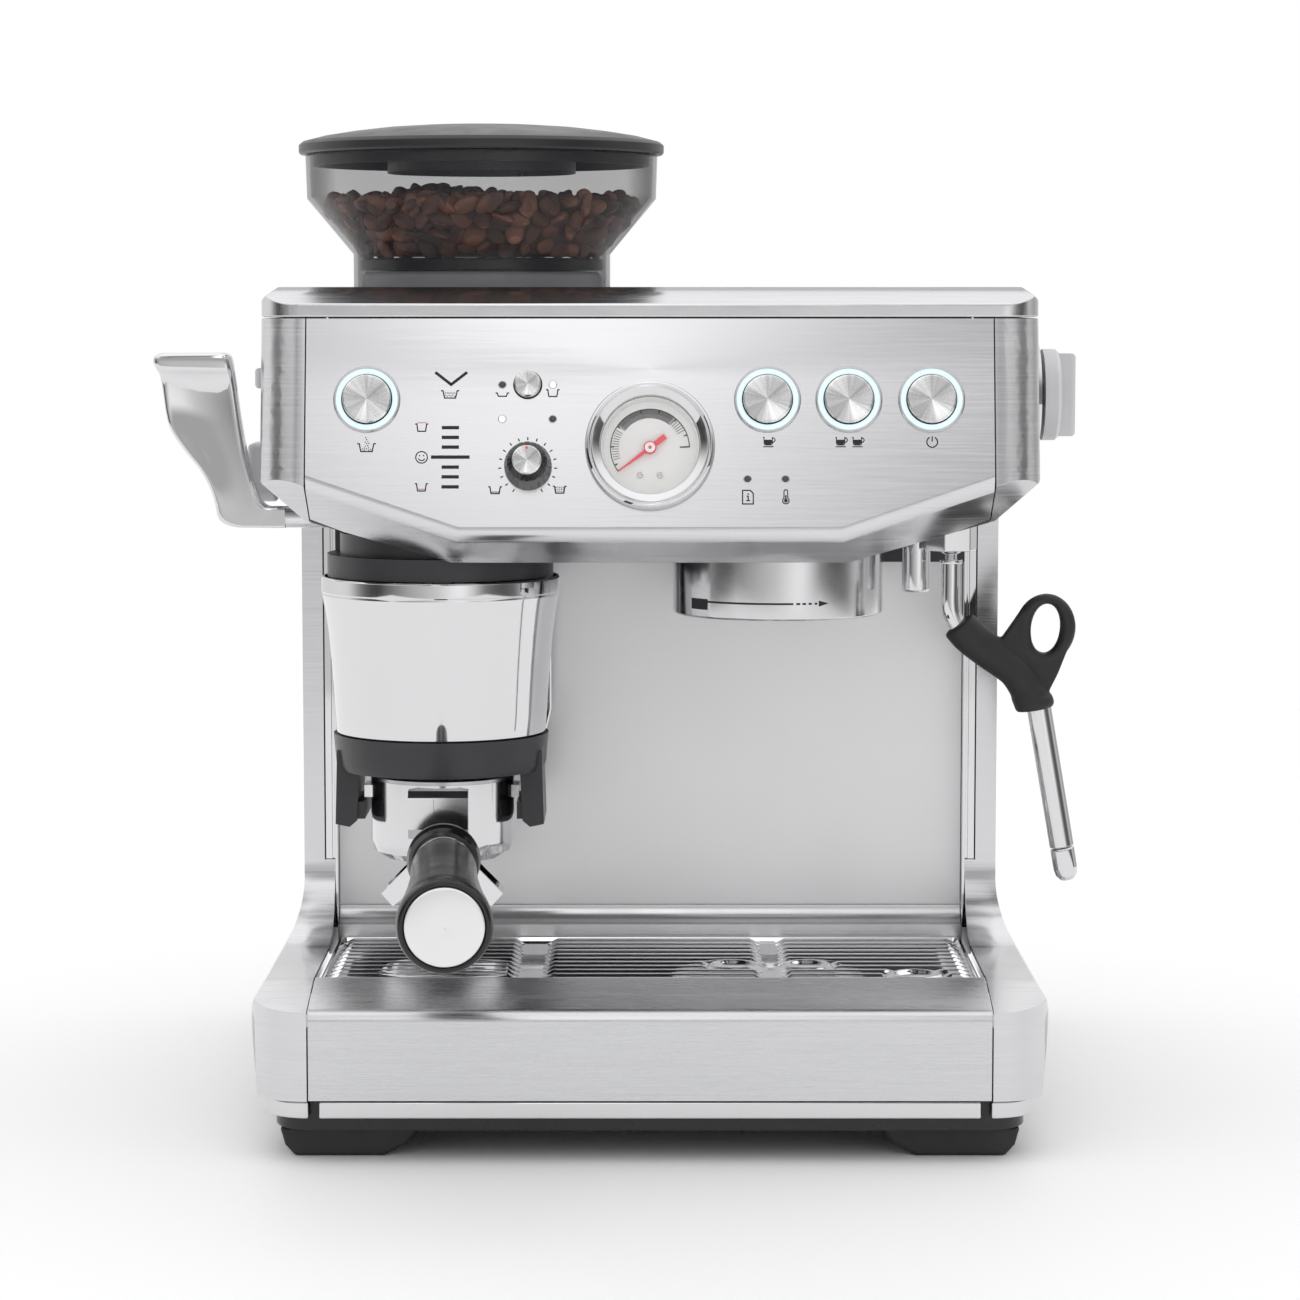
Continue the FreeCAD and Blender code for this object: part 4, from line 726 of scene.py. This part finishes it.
basket(-111.6, 284.2, 7.0, 3.1,
       [(dx, dy, 0) for dx, dy in ((-1.6, -0.6), (-0.8, -0.2), (0, -0.5), (0.8, -0.1), (1.6, -0.7),
                                   (-0.4, 0.6), (0.5, 0.8), (-0.9, -1.0), (0.9, -1.0), (0.1, 1.6),
                                   (-0.5, 2.2), (0.5, 2.5), (0, 3.2), (-0.3, 4.0), (0.9, 1.7))])
basket(-78.8, 305.0, 6.8, 2.9, [(-1.8 + 0.72 * k, -0.35 - 0.35 * (k % 2), 0) for k in range(6)]
       + [(-1.8 + 0.72 * k, 0.55, 0) for k in range(6)])
basket(-58.2, 304.9, 4.9, 1.3)
basket(-38.3, 305.5, 4.9, 2.7)
basket(-60.9, 267.6, 5.0, 2.7, [(-1.2 + 0.6 * k, -0.75, 0) for k in range(5)])
basket(-35.5, 267.8, 5.0, 2.7, [(-1.5 + 0.75 * k, y, 0) for k in range(5) for y in (-0.6, 0.2, 1.0)])
basket(-89.9, 292.0, 4.7, 2.9, [(-1.5 + 0.6 * k, 2.0, 1) for k in range(6)])
basket(-89.9, 268.7, 4.7, 2.9, [(-1.0 + 0.5 * k, -0.8, 1) for k in range(5)])
p = on_fascia(-89.9, 280.4, 0.02)
ink.arc(p, 0, 0, 2.3, 0, 360, 0.3, 32)
ink.disc(p, -0.8, 0.7, 0.3, 10)
ink.disc(p, 0.8, 0.7, 0.3, 10)
ink.arc(p, 0, 0, 1.3, 205, 335, 0.28, 12)
p = on_fascia(-78.4, 311.2, 0.02)
ink.stroke(p, [(-6.0, 2.3), (0, -2.4), (6.0, 2.3)], 1.15)
for x, z in ((-78.6, 292.0), (-78.6, 288.2), (-78.6, 284.4), (-78.6, 280.5), (-78.6, 276.6), (-78.6, 272.8),
             (-78.6, 268.9)):
    half = 7.2 if z == 280.5 else 3.0
    ink.stroke(on_fascia(x, z, 0.02), [(-half, 0), (half, 0)], 1.35)
p = on_fascia(-48.1, 276.9, 0.02)
for k in range(17):
    a = math.radians(90 + (k - 8) * 18.75)
    ink.stroke(p, [(10.6 * math.cos(a), 10.6 * math.sin(a)), (11.5 * math.cos(a), 11.5 * math.sin(a))],
               0.34)


def cup(x, z):
    p = on_fascia(x, z, 0.02)
    ink.poly(p, [(-1.5, 0.7), (1.4, 0.7), (1.4, -0.7), (0.9, -1.2), (-1.0, -1.2), (-1.5, -0.7)])
    ink.stroke(p, [(-2.0, 1.6), (-1.7, 1.6), (-1.7, -0.9), (-1.2, -1.4), (1.1, -1.4), (1.6, -0.9),
                   (1.6, 1.6), (1.8, 1.6)],
               0.26)
    ink.arc(p, 1.75, 0.55, 0.85, -90, 90, 0.26, 10)
    ink.stroke(p, [(-1.9, -2.1), (1.9, -2.1)], 0.28)


cup(46.6, 286.6)
cup(75.1, 286.6)
cup(81.7, 286.6)
p = on_fascia(111.1, 286.4, 0.02)
ink.arc(p, 0, 0, 2.1, 122, 418, 0.32, 30)
ink.stroke(p, [(0, 0.3), (0, 2.2)], 0.32)
p = on_fascia(38.5, 264.9, 0.02)
ink.stroke(p, [(-2.1, 2.7), (0.9, 2.7), (2.1, 1.5), (2.1, -2.7), (-2.1, -2.7)], 0.34, True)
ink.disc(p, 0.1, 1.2, 0.34, 10)
ink.stroke(p, [(-0.35, 0.3), (0.1, 0.3), (0.1, -1.3)], 0.36)
ink.stroke(p, [(-0.5, -1.4), (0.7, -1.4)], 0.32)
p = on_fascia(53.4, 264.9, 0.02)
ink.arc(p, 0, -1.4, 1.25, -235, 55, 0.3, 20)
ink.stroke(p, [(-0.72, -0.4), (-0.72, 2.2)], 0.28)
ink.stroke(p, [(0.72, -0.4), (0.72, 2.2)], 0.28)
ink.arc(p, 0, 2.2, 0.72, 0, 180, 0.28, 10)
ink.disc(p, 0, -1.4, 0.75, 14)
ink.stroke(p, [(0, -1.0), (0, 0.6)], 0.4)
ink.done()
red.done()

# ---------------------------------------------------------------- hopper

AXIS = P(-70.5, 118.0, 0)
UPRIGHT = Matrix.Translation(AXIS)
lathe("hopper_wall", "hopper_body",
      [(53.8, 342.3), (53.8, 361), (73.0, 384), (73.6, 401.8), (71.9, 401.8), (71.3, 385), (52.1, 362),
       (52.1, 342.3)],
      UPRIGHT, SMOKE, 1.2, 160, steps=5)
lathe("hopper_cover", "hopper_lid",
      [(0, 411.0), (38.0, 410.6), (38.0, 394.5), (39.4, 394.5), (39.4, 410.2), (60, 409.0), (68.4, 406.6),
       (68.4, 397.5), (70.4, 397.5), (70.4, 402.3), (75.6, 402.3), (76.3, 403.2), (76.3, 406.2),
       (74.6, 407.6), (66, 409.8), (55, 411.6), (42, 413.2), (28, 414.2), (14, 414.7), (0, 414.8)],
      UPRIGHT, LID, 0.6, 160, steps=3)
lathe("hopper_shutter", "hopper_gate",
      [(14, 354.2), (50.9, 354.2), (50.9, 358.4), (49.6, 359.2), (14, 358.4)], UPRIGHT, BLACK, 0.5, 128)
lathe("grinder_collar", "grinder_housing",
      [(20.5, 290), (46, 290), (46, 336), (50.4, 336), (50.4, 351.6), (48.6, 353.8), (47.0, 353.8),
       (43.5, 338), (31.5, 330), (31.5, 300), (20.5, 300)], UPRIGHT, COLLAR, 1.0, 128)


def bean_shape(rows=9, count=12):
    """One roasted bean: a flattened oval with a crease along its flat side."""
    verts = []
    for i in range(rows + 1):
        v = math.pi * i / rows
        for j in range(count):
            u = 2 * math.pi * j / count
            x = 5.4 * math.cos(v)
            y = 3.9 * math.sin(v) * math.cos(u)
            z = 2.9 * math.sin(v) * math.sin(u)
            if z < 0:
                z *= 0.62
                z += 0.75 * math.exp(-(y / 0.8) ** 2) * max(0.0, math.sin(v)) ** 0.5
            verts.append((x, y, z))
    faces = []
    for i in range(rows):
        for j in range(count):
            j2 = (j + 1) % count
            faces.append((i * count + j, i * count + j2, (i + 1) * count + j2, (i + 1) * count + j))
    return verts, faces


def add_bean(bm, shape, x, y, z, outward):
    verts, faces = shape
    spin = Matrix.Rotation(RNG.uniform(0, 2 * math.pi), 3, "Z")
    tilt = Matrix.Rotation(RNG.gauss(0, 0.45), 3, "X") @ Matrix.Rotation(RNG.gauss(0, 0.45), 3, "Y")
    flip = -1 if RNG.random() < 0.55 else 1
    face = Vector((0, 0, flip)).rotation_difference(outward).to_matrix()
    turn = face @ tilt @ spin
    size = RNG.uniform(0.86, 1.12)
    shade = RNG.randrange(4)
    rows = [bm.verts.new(AXIS + (Vector((x, y, z)) + turn @ (Vector(v) * size)) * MM) for v in verts]
    for f in faces:
        face_ = bm.faces.new([rows[i] for i in f])
        face_.material_index = shade


bm = bmesh.new()
shape = bean_shape()
level = 363.5
row_index = 0
while level < 381.5:
    wall = 51.9 + (level - 362) * (71.0 - 51.9) / 23.0
    for depth in (4.0, 10.0):
        radius = wall - depth
        count = int(2 * math.pi * radius / 8.0)
        for k in range(count):
            a = 2 * math.pi * (k + 0.5 * (row_index % 2) + RNG.uniform(-0.25, 0.25)) / count
            z = level + RNG.uniform(-1.0, 1.0) + (1.5 if depth > 5 else 0)
            outward = Vector((math.cos(a), math.sin(a), -0.65)).normalized()
            add_bean(bm, shape, radius * math.cos(a), radius * math.sin(a), z, outward)
    level += 5.6
    row_index += 1
radius = 62.0
while radius > 3:
    count = max(3, int(2 * math.pi * radius / 8.2))
    for k in range(count):
        a = 2 * math.pi * (k + RNG.uniform(-0.3, 0.3)) / count
        x, y = radius * math.cos(a), radius * math.sin(a)
        ripple = 2.5 * noise.noise(Vector((x, y, 3)) * 0.05)
        heap = 381.0 + 6.0 * math.exp(-((x + 22) ** 2 + (y - 18) ** 2) / 900) + ripple
        add_bean(bm, shape, x, y, heap + RNG.uniform(-1.2, 1.2),
                 Vector((RNG.gauss(0, 0.3), RNG.gauss(0, 0.3), 1)).normalized())
    radius -= 6.4
# Core under the heap in the darkest bean colour: painted shade for the deeper beans seen through the gaps.
turned_rings(bm, [(0, 360.2), (47.5, 360.2), (48.2, 362.5), (60.0, 376.5), (58.0, 379.5), (0, 381.5)],
             UPRIGHT, 1.5, 64, 3, lambda i, r, h: 3)
finish_mesh("bean_heap", bm, [BEAN, BEAN_2, BEAN_3, BEAN_4], "hopper", "coffee_beans", 80)

# ---------------------------------------------------------------- tamping station

TAMP = Matrix.Translation(P(-86.4, 78.0, 0))
lathe("tamp_skirt", "tamp_shroud",
      [(42.0, 164.6), (43.2, 164.6), (43.7, 172), (44.3, 182), (45.2, 194), (46.4, 206), (47.6, 214.5),
       (48.5, 219.6), (48.9, 221.6), (48.9, 222.6), (49.15, 223.0), (49.15, 228.4), (48.6, 229.1),
       (47.6, 229.1), (47.6, 221), (45.2, 205), (43.0, 185), (42.0, 172)], TAMP, CHROME, 0.45, 192, steps=4)

# lever: a broad scooped paddle above, a bar below that runs in under the head
STATIONS = [
    (-200.6, 320.3, -174.6, 320.4, 72.6, 84.4, 0.0), (-202.8, 319.0, -172.2, 319.2, 71.4, 84.9, 0.0),
    (-203.2, 316.6, -171.2, 316.0, 71.1, 85.0, 0.0), (-202.2, 314.0, -170.8, 313.4, 71.3, 85.0, 0.0),
    (-200.9, 311.6, -170.5, 311.2, 72.2, 85.0, 0.8), (-200.1, 308.0, -170.0, 307.6, 72.4, 85.0, 2.2),
    (-199.3, 302.0, -169.2, 301.0, 72.3, 85.0, 3.0), (-198.4, 295.6, -168.3, 294.4, 72.2, 85.0, 3.0),
    (-196.6, 289.0, -167.3, 288.0, 72.0, 85.0, 2.6), (-191.9, 281.6, -166.1, 281.2, 71.8, 85.0, 2.0),
    (-184.4, 272.2, -164.4, 273.4, 71.5, 84.9, 1.3), (-180.4, 264.6, -162.4, 266.2, 71.3, 84.8, 0.8),
    (-178.5, 258.4, -160.4, 260.4, 71.2, 84.7, 0.5), (-176.8, 252.0, -157.9, 257.9, 71.2, 84.6, 0.3),
    (-171.0, 249.2, -155.2, 257.1, 71.2, 84.6, 0.2), (-162.0, 248.9, -153.0, 257.0, 71.2, 84.6, 0.2),
    (-155.0, 248.8, -151.2, 257.0, 71.2, 84.6, 0.1), (-149.8, 248.8, -149.8, 257.0, 71.2, 84.6, 0.0),
]
bm = bmesh.new()
rings = []
for s in catmull(STATIONS, 5):
    xl, zl, xr, zr, yf, yb, scoop = s
    width = math.hypot(xr - xl, zr - zl)
    depth = yb - yf
    outline = rounded([(0, 0), (width * 0.25, 0), (width * 0.5, 0), (width * 0.75, 0), (width, 0),
                       (width, depth), (width * 0.5, depth), (0, depth)], 3.0, 6)
    ring = []
    for u, v in outline:
        f = u / width
        dish = scoop * max(0.0, 1 - (2 * f - 1) ** 2) if v < depth * 0.5 else 0.0
        ring.append(P(xl + (xr - xl) * f, yf + v + dish, zl + (zr - zl) * f))
    rings.append(ring)
loft(bm, rings)
finish_mesh("lever_paddle", bm, CHROME, "lever", "tamp_lever", 50)

# ---------------------------------------------------------------- brew group and spouts

GROUP = P(52.7, 78.0, 0)
lathe("group_collar", "group_head",
      [(0, 236), (31.2, 236), (34, 236), (34, 224), (31.2, 222), (31.2, 213.6), (42.3, 213.6),
       (43.1, 214.4), (43.1, 249.8), (0, 249.8)], Matrix.Translation(GROUP), GROUP_METAL, 0.5, 192)
lathe("water_outlet", "hot_water_spout",
      [(3.8, 223.0), (5.1, 223.0), (5.85, 224.0), (5.85, 251.8), (3.8, 251.8)],
      Matrix.Translation(P(109, 68, 0)), CHROME, 0.5, 64)


def wrap_marks(name, centre, radius, patches, material, body):
    """Thin marks bent round an upright cylinder: (start and end degrees, z low, z high, taper at the end)."""
    bm = bmesh.new()
    for a0, a1, z0, z1, taper in patches:
        steps = max(2, int(abs(a1 - a0) / 2))
        rows = []
        for k in range(steps + 1):
            f = k / steps
            a = math.radians(a0 + (a1 - a0) * f)
            middle = (z0 + z1) / 2
            half = (z1 - z0) / 2 * (1 - f * taper)
            d = Vector((math.sin(a), -math.cos(a), 0))
            rows.append([bm.verts.new(centre + d * r * MM + Vector((0, 0, z * MM)))
                         for r, z in ((radius, middle - half), (radius + 0.06, middle - half),
                                      (radius + 0.06, middle + half), (radius, middle + half))])
        for r0, r1 in zip(rows, rows[1:]):
            for i in range(4):
                bm.faces.new((r0[i], r0[(i + 1) % 4], r1[(i + 1) % 4], r1[i]))
        bm.faces.new(rows[0])
        if taper < 0.99:
            bm.faces.new(rows[-1])
    return finish_mesh(name, bm, material, body)


dashes = [(8 + 3.4 * k, 10.2 + 3.2 * k, 220.1, 220.9, 0) for k in range(4)]
wrap_marks("group_marks", GROUP, 43.1,
           [(-56, -43, 217.2, 221.6, 0), (-43, 6.5, 220.1, 220.9, 0),
            (20.6, 26.5, 219.3, 221.7, 1.0)] + dashes,
           INK, "machine")

# ---------------------------------------------------------------- steam wand

WX, WY = 122.5, 58.0
path = [P(WX, WY, 236.6)] + catmull(
    [P(WX, WY, 236.0), P(WX, WY, 228), P(WX, WY, 219), P(WX + 0.9, WY, 213.8), P(WX + 4.2, WY, 208.4),
     P(WX + 9.0, WY, 204.4), P(WX + 17, WY, 198.8), P(WX + 25, WY, 193.5), P(WX + 32.1, WY, 187),
     P(WX + 36.1, WY, 178)], 8)
bm = bmesh.new()
radii = [3.5 * MM] + [3.75 * MM] * (len(path) - 1)
sweep(bm, path, radii)
START, END = P(WX + 36.1, WY, 178), P(171.3, WY, 105.0)
DOWN = (END - START).normalized()
sweep(bm, [START - DOWN * 4 * MM, START, START + DOWN * 0.0595, START + DOWN * 0.0598],
      [5.0 * MM, 5.0 * MM, 5.0 * MM, 4.7 * MM], 48)
turned_rings(bm, [(0, 235.2), (4.65, 235.2), (4.65, 236.8), (2.4, 236.8), (2.4, 243.5), (0, 243.5)],
             Matrix.Translation(P(WX, WY, 0)), 0.3, 48, 3)
bmesh.ops.create_uvsphere(bm, u_segments=40, v_segments=20, radius=6.5 * MM,
                          matrix=Matrix.Translation(P(WX, WY, 245)))
finish_mesh("wand_tube", bm, CHROME, "wand", "steam_wand", 40)
tip = along(START + DOWN * 0.0602, DOWN)
bm = bmesh.new()
turned_rings(bm, [(0, 0), (4.95, 0), (4.95, 8.6), (4.3, 11.6), (2.6, 13.6), (0, 13.9)], tip, 1.2, 64, 6)
front = START.y - 3.9 * MM
for v in bm.verts:
    h = (v.co - (START + DOWN * 0.0602)).dot(DOWN) / MM
    if v.co.y < front and 4.4 < h:
        v.co.y = front
finish_mesh("wand_nozzle", bm, CHROME, "wand", "wand_tip", 40)


def sleeve_mesh():
    """Soft grip: a sleeve over the bend, a finger loop and the web between them, melted into one skin."""
    bm = bmesh.new()
    bend = catmull([P(125.6, WY, 210.7), P(127.0, WY, 209.0), P(130.7, WY, 205.0), P(137.8, WY, 199.6),
                    P(144.0, WY, 195.4), P(149.2, WY, 191.4), P(153.0, WY, 186.0), P(155.6, WY, 180.6),
                    P(157.2, WY, 176.4)], 5)
    last = len(bend) - 1
    mouth = (4.6, 6.2, 6.9)
    radii = [mouth[i] if i < 3 else 6.6 if i == last else 7.3 + 0.5 * (i > last - 8) for i in range(last + 1)]
    sweep(bm, bend, [r * MM for r in radii], 40)
    loop = []
    for k in range(49):
        a = 2 * math.pi * k / 48
        u, w = 12.1 * math.cos(a), 9.1 * math.sin(a)
        t = math.radians(84)
        loop.append(P(161.2 + u * math.cos(t) + w * math.sin(t), WY,
                      208.8 + u * math.sin(t) - w * math.cos(t)))
    rings = []
    for i, p in enumerate(loop):
        d = (loop[(i + 1) % 48] - loop[(i - 1) % 48]).normalized()
        s = Vector((0, 1, 0))
        u = d.cross(s)
        thick = 2.1 + 1.2 * math.sin(2 * math.pi * i / 48) ** 2
        rings.append([p + s * math.cos(q) * 4.0 * MM + u * math.sin(q) * thick * MM
                      for q in (2 * math.pi * n / 20 for n in range(20))])
    loft(bm, rings, caps=False)
    for ends in (((141.5, 202.0), (151.5, 216.5), (154.6, 213.0), (155.4, 203.0), (156.0, 198.0),
                  (151.0, 192.0)),
                 ((154.6, 200.5), (158.0, 198.2), (163.0, 197.6), (167.5, 199.0), (171.4, 203.5),
                  (166.4, 190.5), (161.2, 180.0), (153.5, 184.0))):
        prism(bm, *([P(x, y, z) for x, z in ends] for y in (WY - 3.4, WY + 3.4)))
    turned_rings(bm, [(0, 0), (7.4, 0), (8.1, 1.6), (8.2, 4.0), (7.4, 5.6), (0, 5.6)],
                 along(P(156.4, WY, 181.0), DOWN), 1.0, 48, 4)
    bmesh.ops.recalc_face_normals(bm, faces=bm.faces)
    me = bpy.data.meshes.new("sleeve_raw")
    bm.to_mesh(me)
    bm.free()
    raw = new_object("sleeve_raw", me)
    remesh = raw.modifiers.new("melt", "REMESH")
    remesh.mode = "VOXEL"
    remesh.voxel_size = 0.00065
    smooth = raw.modifiers.new("soft", "SMOOTH")
    smooth.factor = 0.5
    smooth.iterations = 14
    deps = bpy.context.evaluated_depsgraph_get()
    done = bpy.data.meshes.new_from_object(raw.evaluated_get(deps))
    bpy.data.objects.remove(raw)
    out = bmesh.new()
    out.from_mesh(done)
    bpy.data.meshes.remove(done)
    return out


finish_mesh("wand_sleeve", sleeve_mesh(), RUBBER, "wand", "wand_grip", 80)

# ---------------------------------------------------------------- filter holder handle

H0, H1 = P(-83.8, 42.0, 119.4), P(-74.4, -122.0, 115.8)
L = (H1 - H0).length / MM
HANDLE = along(H0, H1 - H0)
lathe("handle_grip", "portafilter_handle",
      [(0, 18), (13.6, 18), (14.7, 19.6), (14.8, 23), (14.0, 27), (12.6, 29.6), (11.2, 30.0), (11.2, 46),
       (12.6, 46), (13.0, 47.2), (13.0, 58), (13.3, 78), (14.4, 104), (16.0, 132), (17.5, L - 14),
       (17.8, L - 9), (17.8, L - 5), (17.1, L - 2.2), (16.2, L - 1.5), (15.1, L - 1.6), (15.0, L - 4.9),
       (0, L - 4.9)],
      HANDLE, GLOSS_BLACK, 0.5, 128, steps=3)
bm = bmesh.new()
turned_rings(bm, [(11.3, 30.2), (11.9, 30.2), (12.3, 38), (11.9, 45.8), (11.3, 45.8)], Matrix.Identity(4),
             0.3, 96, 3)
turned_rings(bm, [(0, L - 4.8), (14.7, L - 4.8), (14.7, L - 1.3), (14.2, L - 0.8), (11.5, L - 0.3),
                  (7, L - 0.06), (0, L)],
             Matrix.Identity(4), 0.6, 96, 4, lambda i, r, h: 1)
finish_mesh("handle_bands", bm, [CHROME, MIRROR], "portafilter", "handle_bright_parts", 40, HANDLE)

# ---------------------------------------------------------------- drip grid

SPANS = [(-130, -56), (-42, 45), (56, 130)]
DIMPLES = [(35, 76, 10.5), (65, 76, 10.5), (109, 54, 10.5)]
XS = [-134.4 + 268.8 * i / 320 for i in range(321)]
YS = [37.4 + 103.9 * j / 180 for j in range(181)]


def grid_height(x, y):
    edge = min(x + 134.4, 134.4 - x, y - 37.4, 141.3 - y)
    z = 65.5
    inside = max(gap_fill((x - a + 1.5) / 3.5, 0, 1) * gap_fill((b + 1.5 - x) / 3.5, 0, 1)
                 for a, b in SPANS)
    wave = 0.5 + 0.5 * math.cos(2 * math.pi * (y - 43.4) / 9.25)
    rows = gap_fill((y - 39.2) / 2.5, 0, 1) * gap_fill((138.8 - y) / 2.5, 0, 1)
    z += (2.35 * wave ** 0.8 - 0.5) * inside * rows
    for cx, cy, r in DIMPLES:
        d = math.hypot(x - cx, y - cy)
        if d < r + 4:
            f = gap_fill((r + 4 - d) / 4, 0, 1)
            f = f * f * (3 - 2 * f)
            ring = 1.5 * math.exp(-((d - r + 1.2) / 1.5) ** 2)
            bowl = -1.1 * gap_fill((r - 1.5 - d) / 5, 0, 1)
            z = z * (1 - f) + (65.7 + ring + bowl) * f
    if edge < 2.2:
        z = max(z, 66.9) if edge > 0.4 else 66.2
    return z


def is_slot(x, y):
    k = round((y - 43.4) / 9.25 - 0.5)
    valley = 43.4 + 9.25 * (k + 0.5)
    if not 0 <= k <= 9 or abs(y - valley) > 0.9:
        return False
    if not any(a + 6 < x < b - 6 and abs((x - a) % 21.0 - 10.5) < 8.2 for a, b in SPANS):
        return False
    return all(math.hypot(x - cx, y - cy) > r + 6 for cx, cy, r in DIMPLES)


bm = bmesh.new()
top = [[bm.verts.new(P(x, y, grid_height(x, y))) for x in XS] for y in YS]
low = [[bm.verts.new(P(x, y, max(63.0, grid_height(x, y) - 1.1))) for x in XS] for y in YS]
rows_n, cols_n = len(YS) - 1, len(XS) - 1
kept = [[not is_slot((XS[i] + XS[i + 1]) / 2,
                     (YS[j] + YS[j + 1]) / 2) for i in range(cols_n)] for j in range(rows_n)]
for j in range(rows_n):
    for i in range(cols_n):
        if not kept[j][i]:
            continue
        bm.faces.new((top[j][i], top[j][i + 1], top[j + 1][i + 1], top[j + 1][i]))
        bm.faces.new((low[j][i], low[j + 1][i], low[j + 1][i + 1], low[j][i + 1]))
        for dj, di, a, b in ((-1, 0, (j, i), (j, i + 1)), (1, 0, (j + 1, i + 1), (j + 1, i)),
                             (0, -1, (j + 1, i), (j, i)), (0, 1, (j, i + 1), (j + 1, i + 1))):
            nj, ni = j + dj, i + di
            if 0 <= nj < rows_n and 0 <= ni < cols_n and kept[nj][ni]:
                continue
            bm.faces.new((top[a[0]][a[1]], low[a[0]][a[1]], low[b[0]][b[1]], top[b[0]][b[1]]))
finish_mesh("pressed_grid", bm, GRID, "drip_grid", "drip_grill", 50)

# ---------------------------------------------------------------- camera and light

LENS, SENSOR = 102.96, 36
CAMERA_BACK, CAMERA_UP, CAMERA_PITCH = 1452, 344, 5.454
FLOOR_SIZE = 3.1
AMBIENT = 1.03
GLOSS_GAIN = 1.18

cam = bpy.data.cameras.new("view")
cam.lens = LENS
cam.sensor_width = SENSOR
cam_ob = new_object("view", cam)
cam_ob.location = P(0, -CAMERA_BACK, CAMERA_UP)
cam_ob.rotation_euler = (math.radians(90 - CAMERA_PITCH), 0, 0)
bpy.context.scene.camera = cam_ob

bm = bmesh.new()
bm.faces.new([bm.verts.new((x * FLOOR_SIZE / 2, y * FLOOR_SIZE / 2, 0)) for x, y in ((-1, -1), (1, -1),
                                                                                     (1, 1), (-1, 1))])
me = bpy.data.meshes.new("floor")
bm.to_mesh(me)
bm.free()
me.materials.append(shader("floor_pale", (0.96, 0.96, 0.96), 0.0, 0.6))
new_object("floor", me)

# Studio round the machine as shiny surfaces see it, by direction only: (place, brightness).
# HIGH: the soft boxes ahead and above, by sideways slope. FAR: the rest, by compass angle in turns
# (0 straight ahead, -0.25 left, 0.25 right).
HIGH_STOPS = [(-0.40, 0.9), (-0.17, 0.10), (-0.125, 0.40), (-0.08, 1.75), (-0.03, 1.95), (0.02, 1.45),
              (0.06, 1.0), (0.10, 0.45), (0.16, 0.3), (0.40, 0.9)]
FAR_STOPS = [(-0.5, 0.75), (-0.36, 0.80), (-0.27, 0.95), (-0.225, 0.20), (-0.175, 0.03), (-0.14, 0.12),
             (-0.08, 0.45), (0.0, 0.70), (0.05, 1.15), (0.085, 1.0), (0.13, 0.10), (0.22, 0.06),
             (0.26, 0.8), (0.33, 0.30), (0.42, 0.7), (0.5, 0.75)]


def tones(m, source, stops, reach):
    """Brightness of a value from -reach to reach; a ramp holds no more than 1, so it is scaled up after."""
    gain = max(value for at, value in stops)
    curve = node(m, "ShaderNodeValToRGB")
    curve.color_ramp.interpolation = "B_SPLINE"
    elements = curve.color_ramp.elements
    while len(elements) < len(stops):
        elements.new(0.5)
    for element, (at, value) in zip(elements, stops):
        element.position = (at + reach) / (2 * reach)
        element.color = (value / gain, value / gain, value / gain, 1)
    link(m, ramp_range(m, source, 0, 1, -reach, reach), curve.inputs["Fac"])
    return calc(m, "MULTIPLY", curve.outputs["Color"], gain)


def smooth_step(m, value, low, high):
    """0 below low, 1 above high, smooth between."""
    n = node(m, "ShaderNodeMapRange", interpolation_type="SMOOTHSTEP")
    n.inputs["From Min"].default_value = low
    n.inputs["From Max"].default_value = high
    link(m, value, n.inputs["Value"])
    return n.outputs["Result"]


world = bpy.data.worlds.new("studio")
bpy.context.scene.world = world
world.use_nodes = True
split = node(world, "ShaderNodeSeparateXYZ")
link(world, node(world, "ShaderNodeTexCoord").outputs["Generated"], split.inputs[0])
right, height = split.outputs["X"], split.outputs["Z"]
ahead = calc(world, "MULTIPLY", split.outputs["Y"], -1.0)
cards = tones(world, calc(world, "DIVIDE", right, calc(world, "MAXIMUM", ahead, 0.02)), HIGH_STOPS, 0.4)
heading = calc(world, "DIVIDE", calc(world, "ARCTAN2", right, ahead), 2 * math.pi)
around = calc(world, "MULTIPLY", tones(world, heading, FAR_STOPS, 0.5), 0.9)
facing = smooth_step(world, ahead, 0.45, 0.70)
upward = blend(world, height, 0.75, 1.1)
wall = blend(world, smooth_step(world, height, 0.15, 0.60), around, upward)
wall = blend(world, calc(world, "MULTIPLY", facing, smooth_step(world, height, 0.02, 0.15)), wall, 0.42)
in_cards = calc(world, "MULTIPLY", facing, smooth_step(world, height, 0.25, 0.42))
shine = calc(world, "MULTIPLY", blend(world, in_cards, wall, cards), GLOSS_GAIN)
ray = node(world, "ShaderNodeLightPath")
room = blend(world, ray.outputs["Is Glossy Ray"], AMBIENT, shine)
sky = world.node_tree.nodes["Background"]
link(world, blend(world, ray.outputs["Is Camera Ray"], room, 1.0), sky.inputs["Strength"])
sky.inputs["Color"].default_value = (1, 1, 1, 1)

lamp = bpy.data.lights.new("top_soft", "AREA")
lamp.shape = "RECTANGLE"
lamp.size, lamp.size_y = 2.0, 1.4
lamp.energy = 5
lamp_ob = new_object("top_soft", lamp)
lamp_ob.location = (0, -0.2, 2.2)
lamp_ob.rotation_euler = (Vector((0, 0, 0.2)) - lamp_ob.location).to_track_quat("-Z", "Y").to_euler()
lamp_ob.visible_glossy = False
bpy.context.scene.view_settings.view_transform = "Standard"
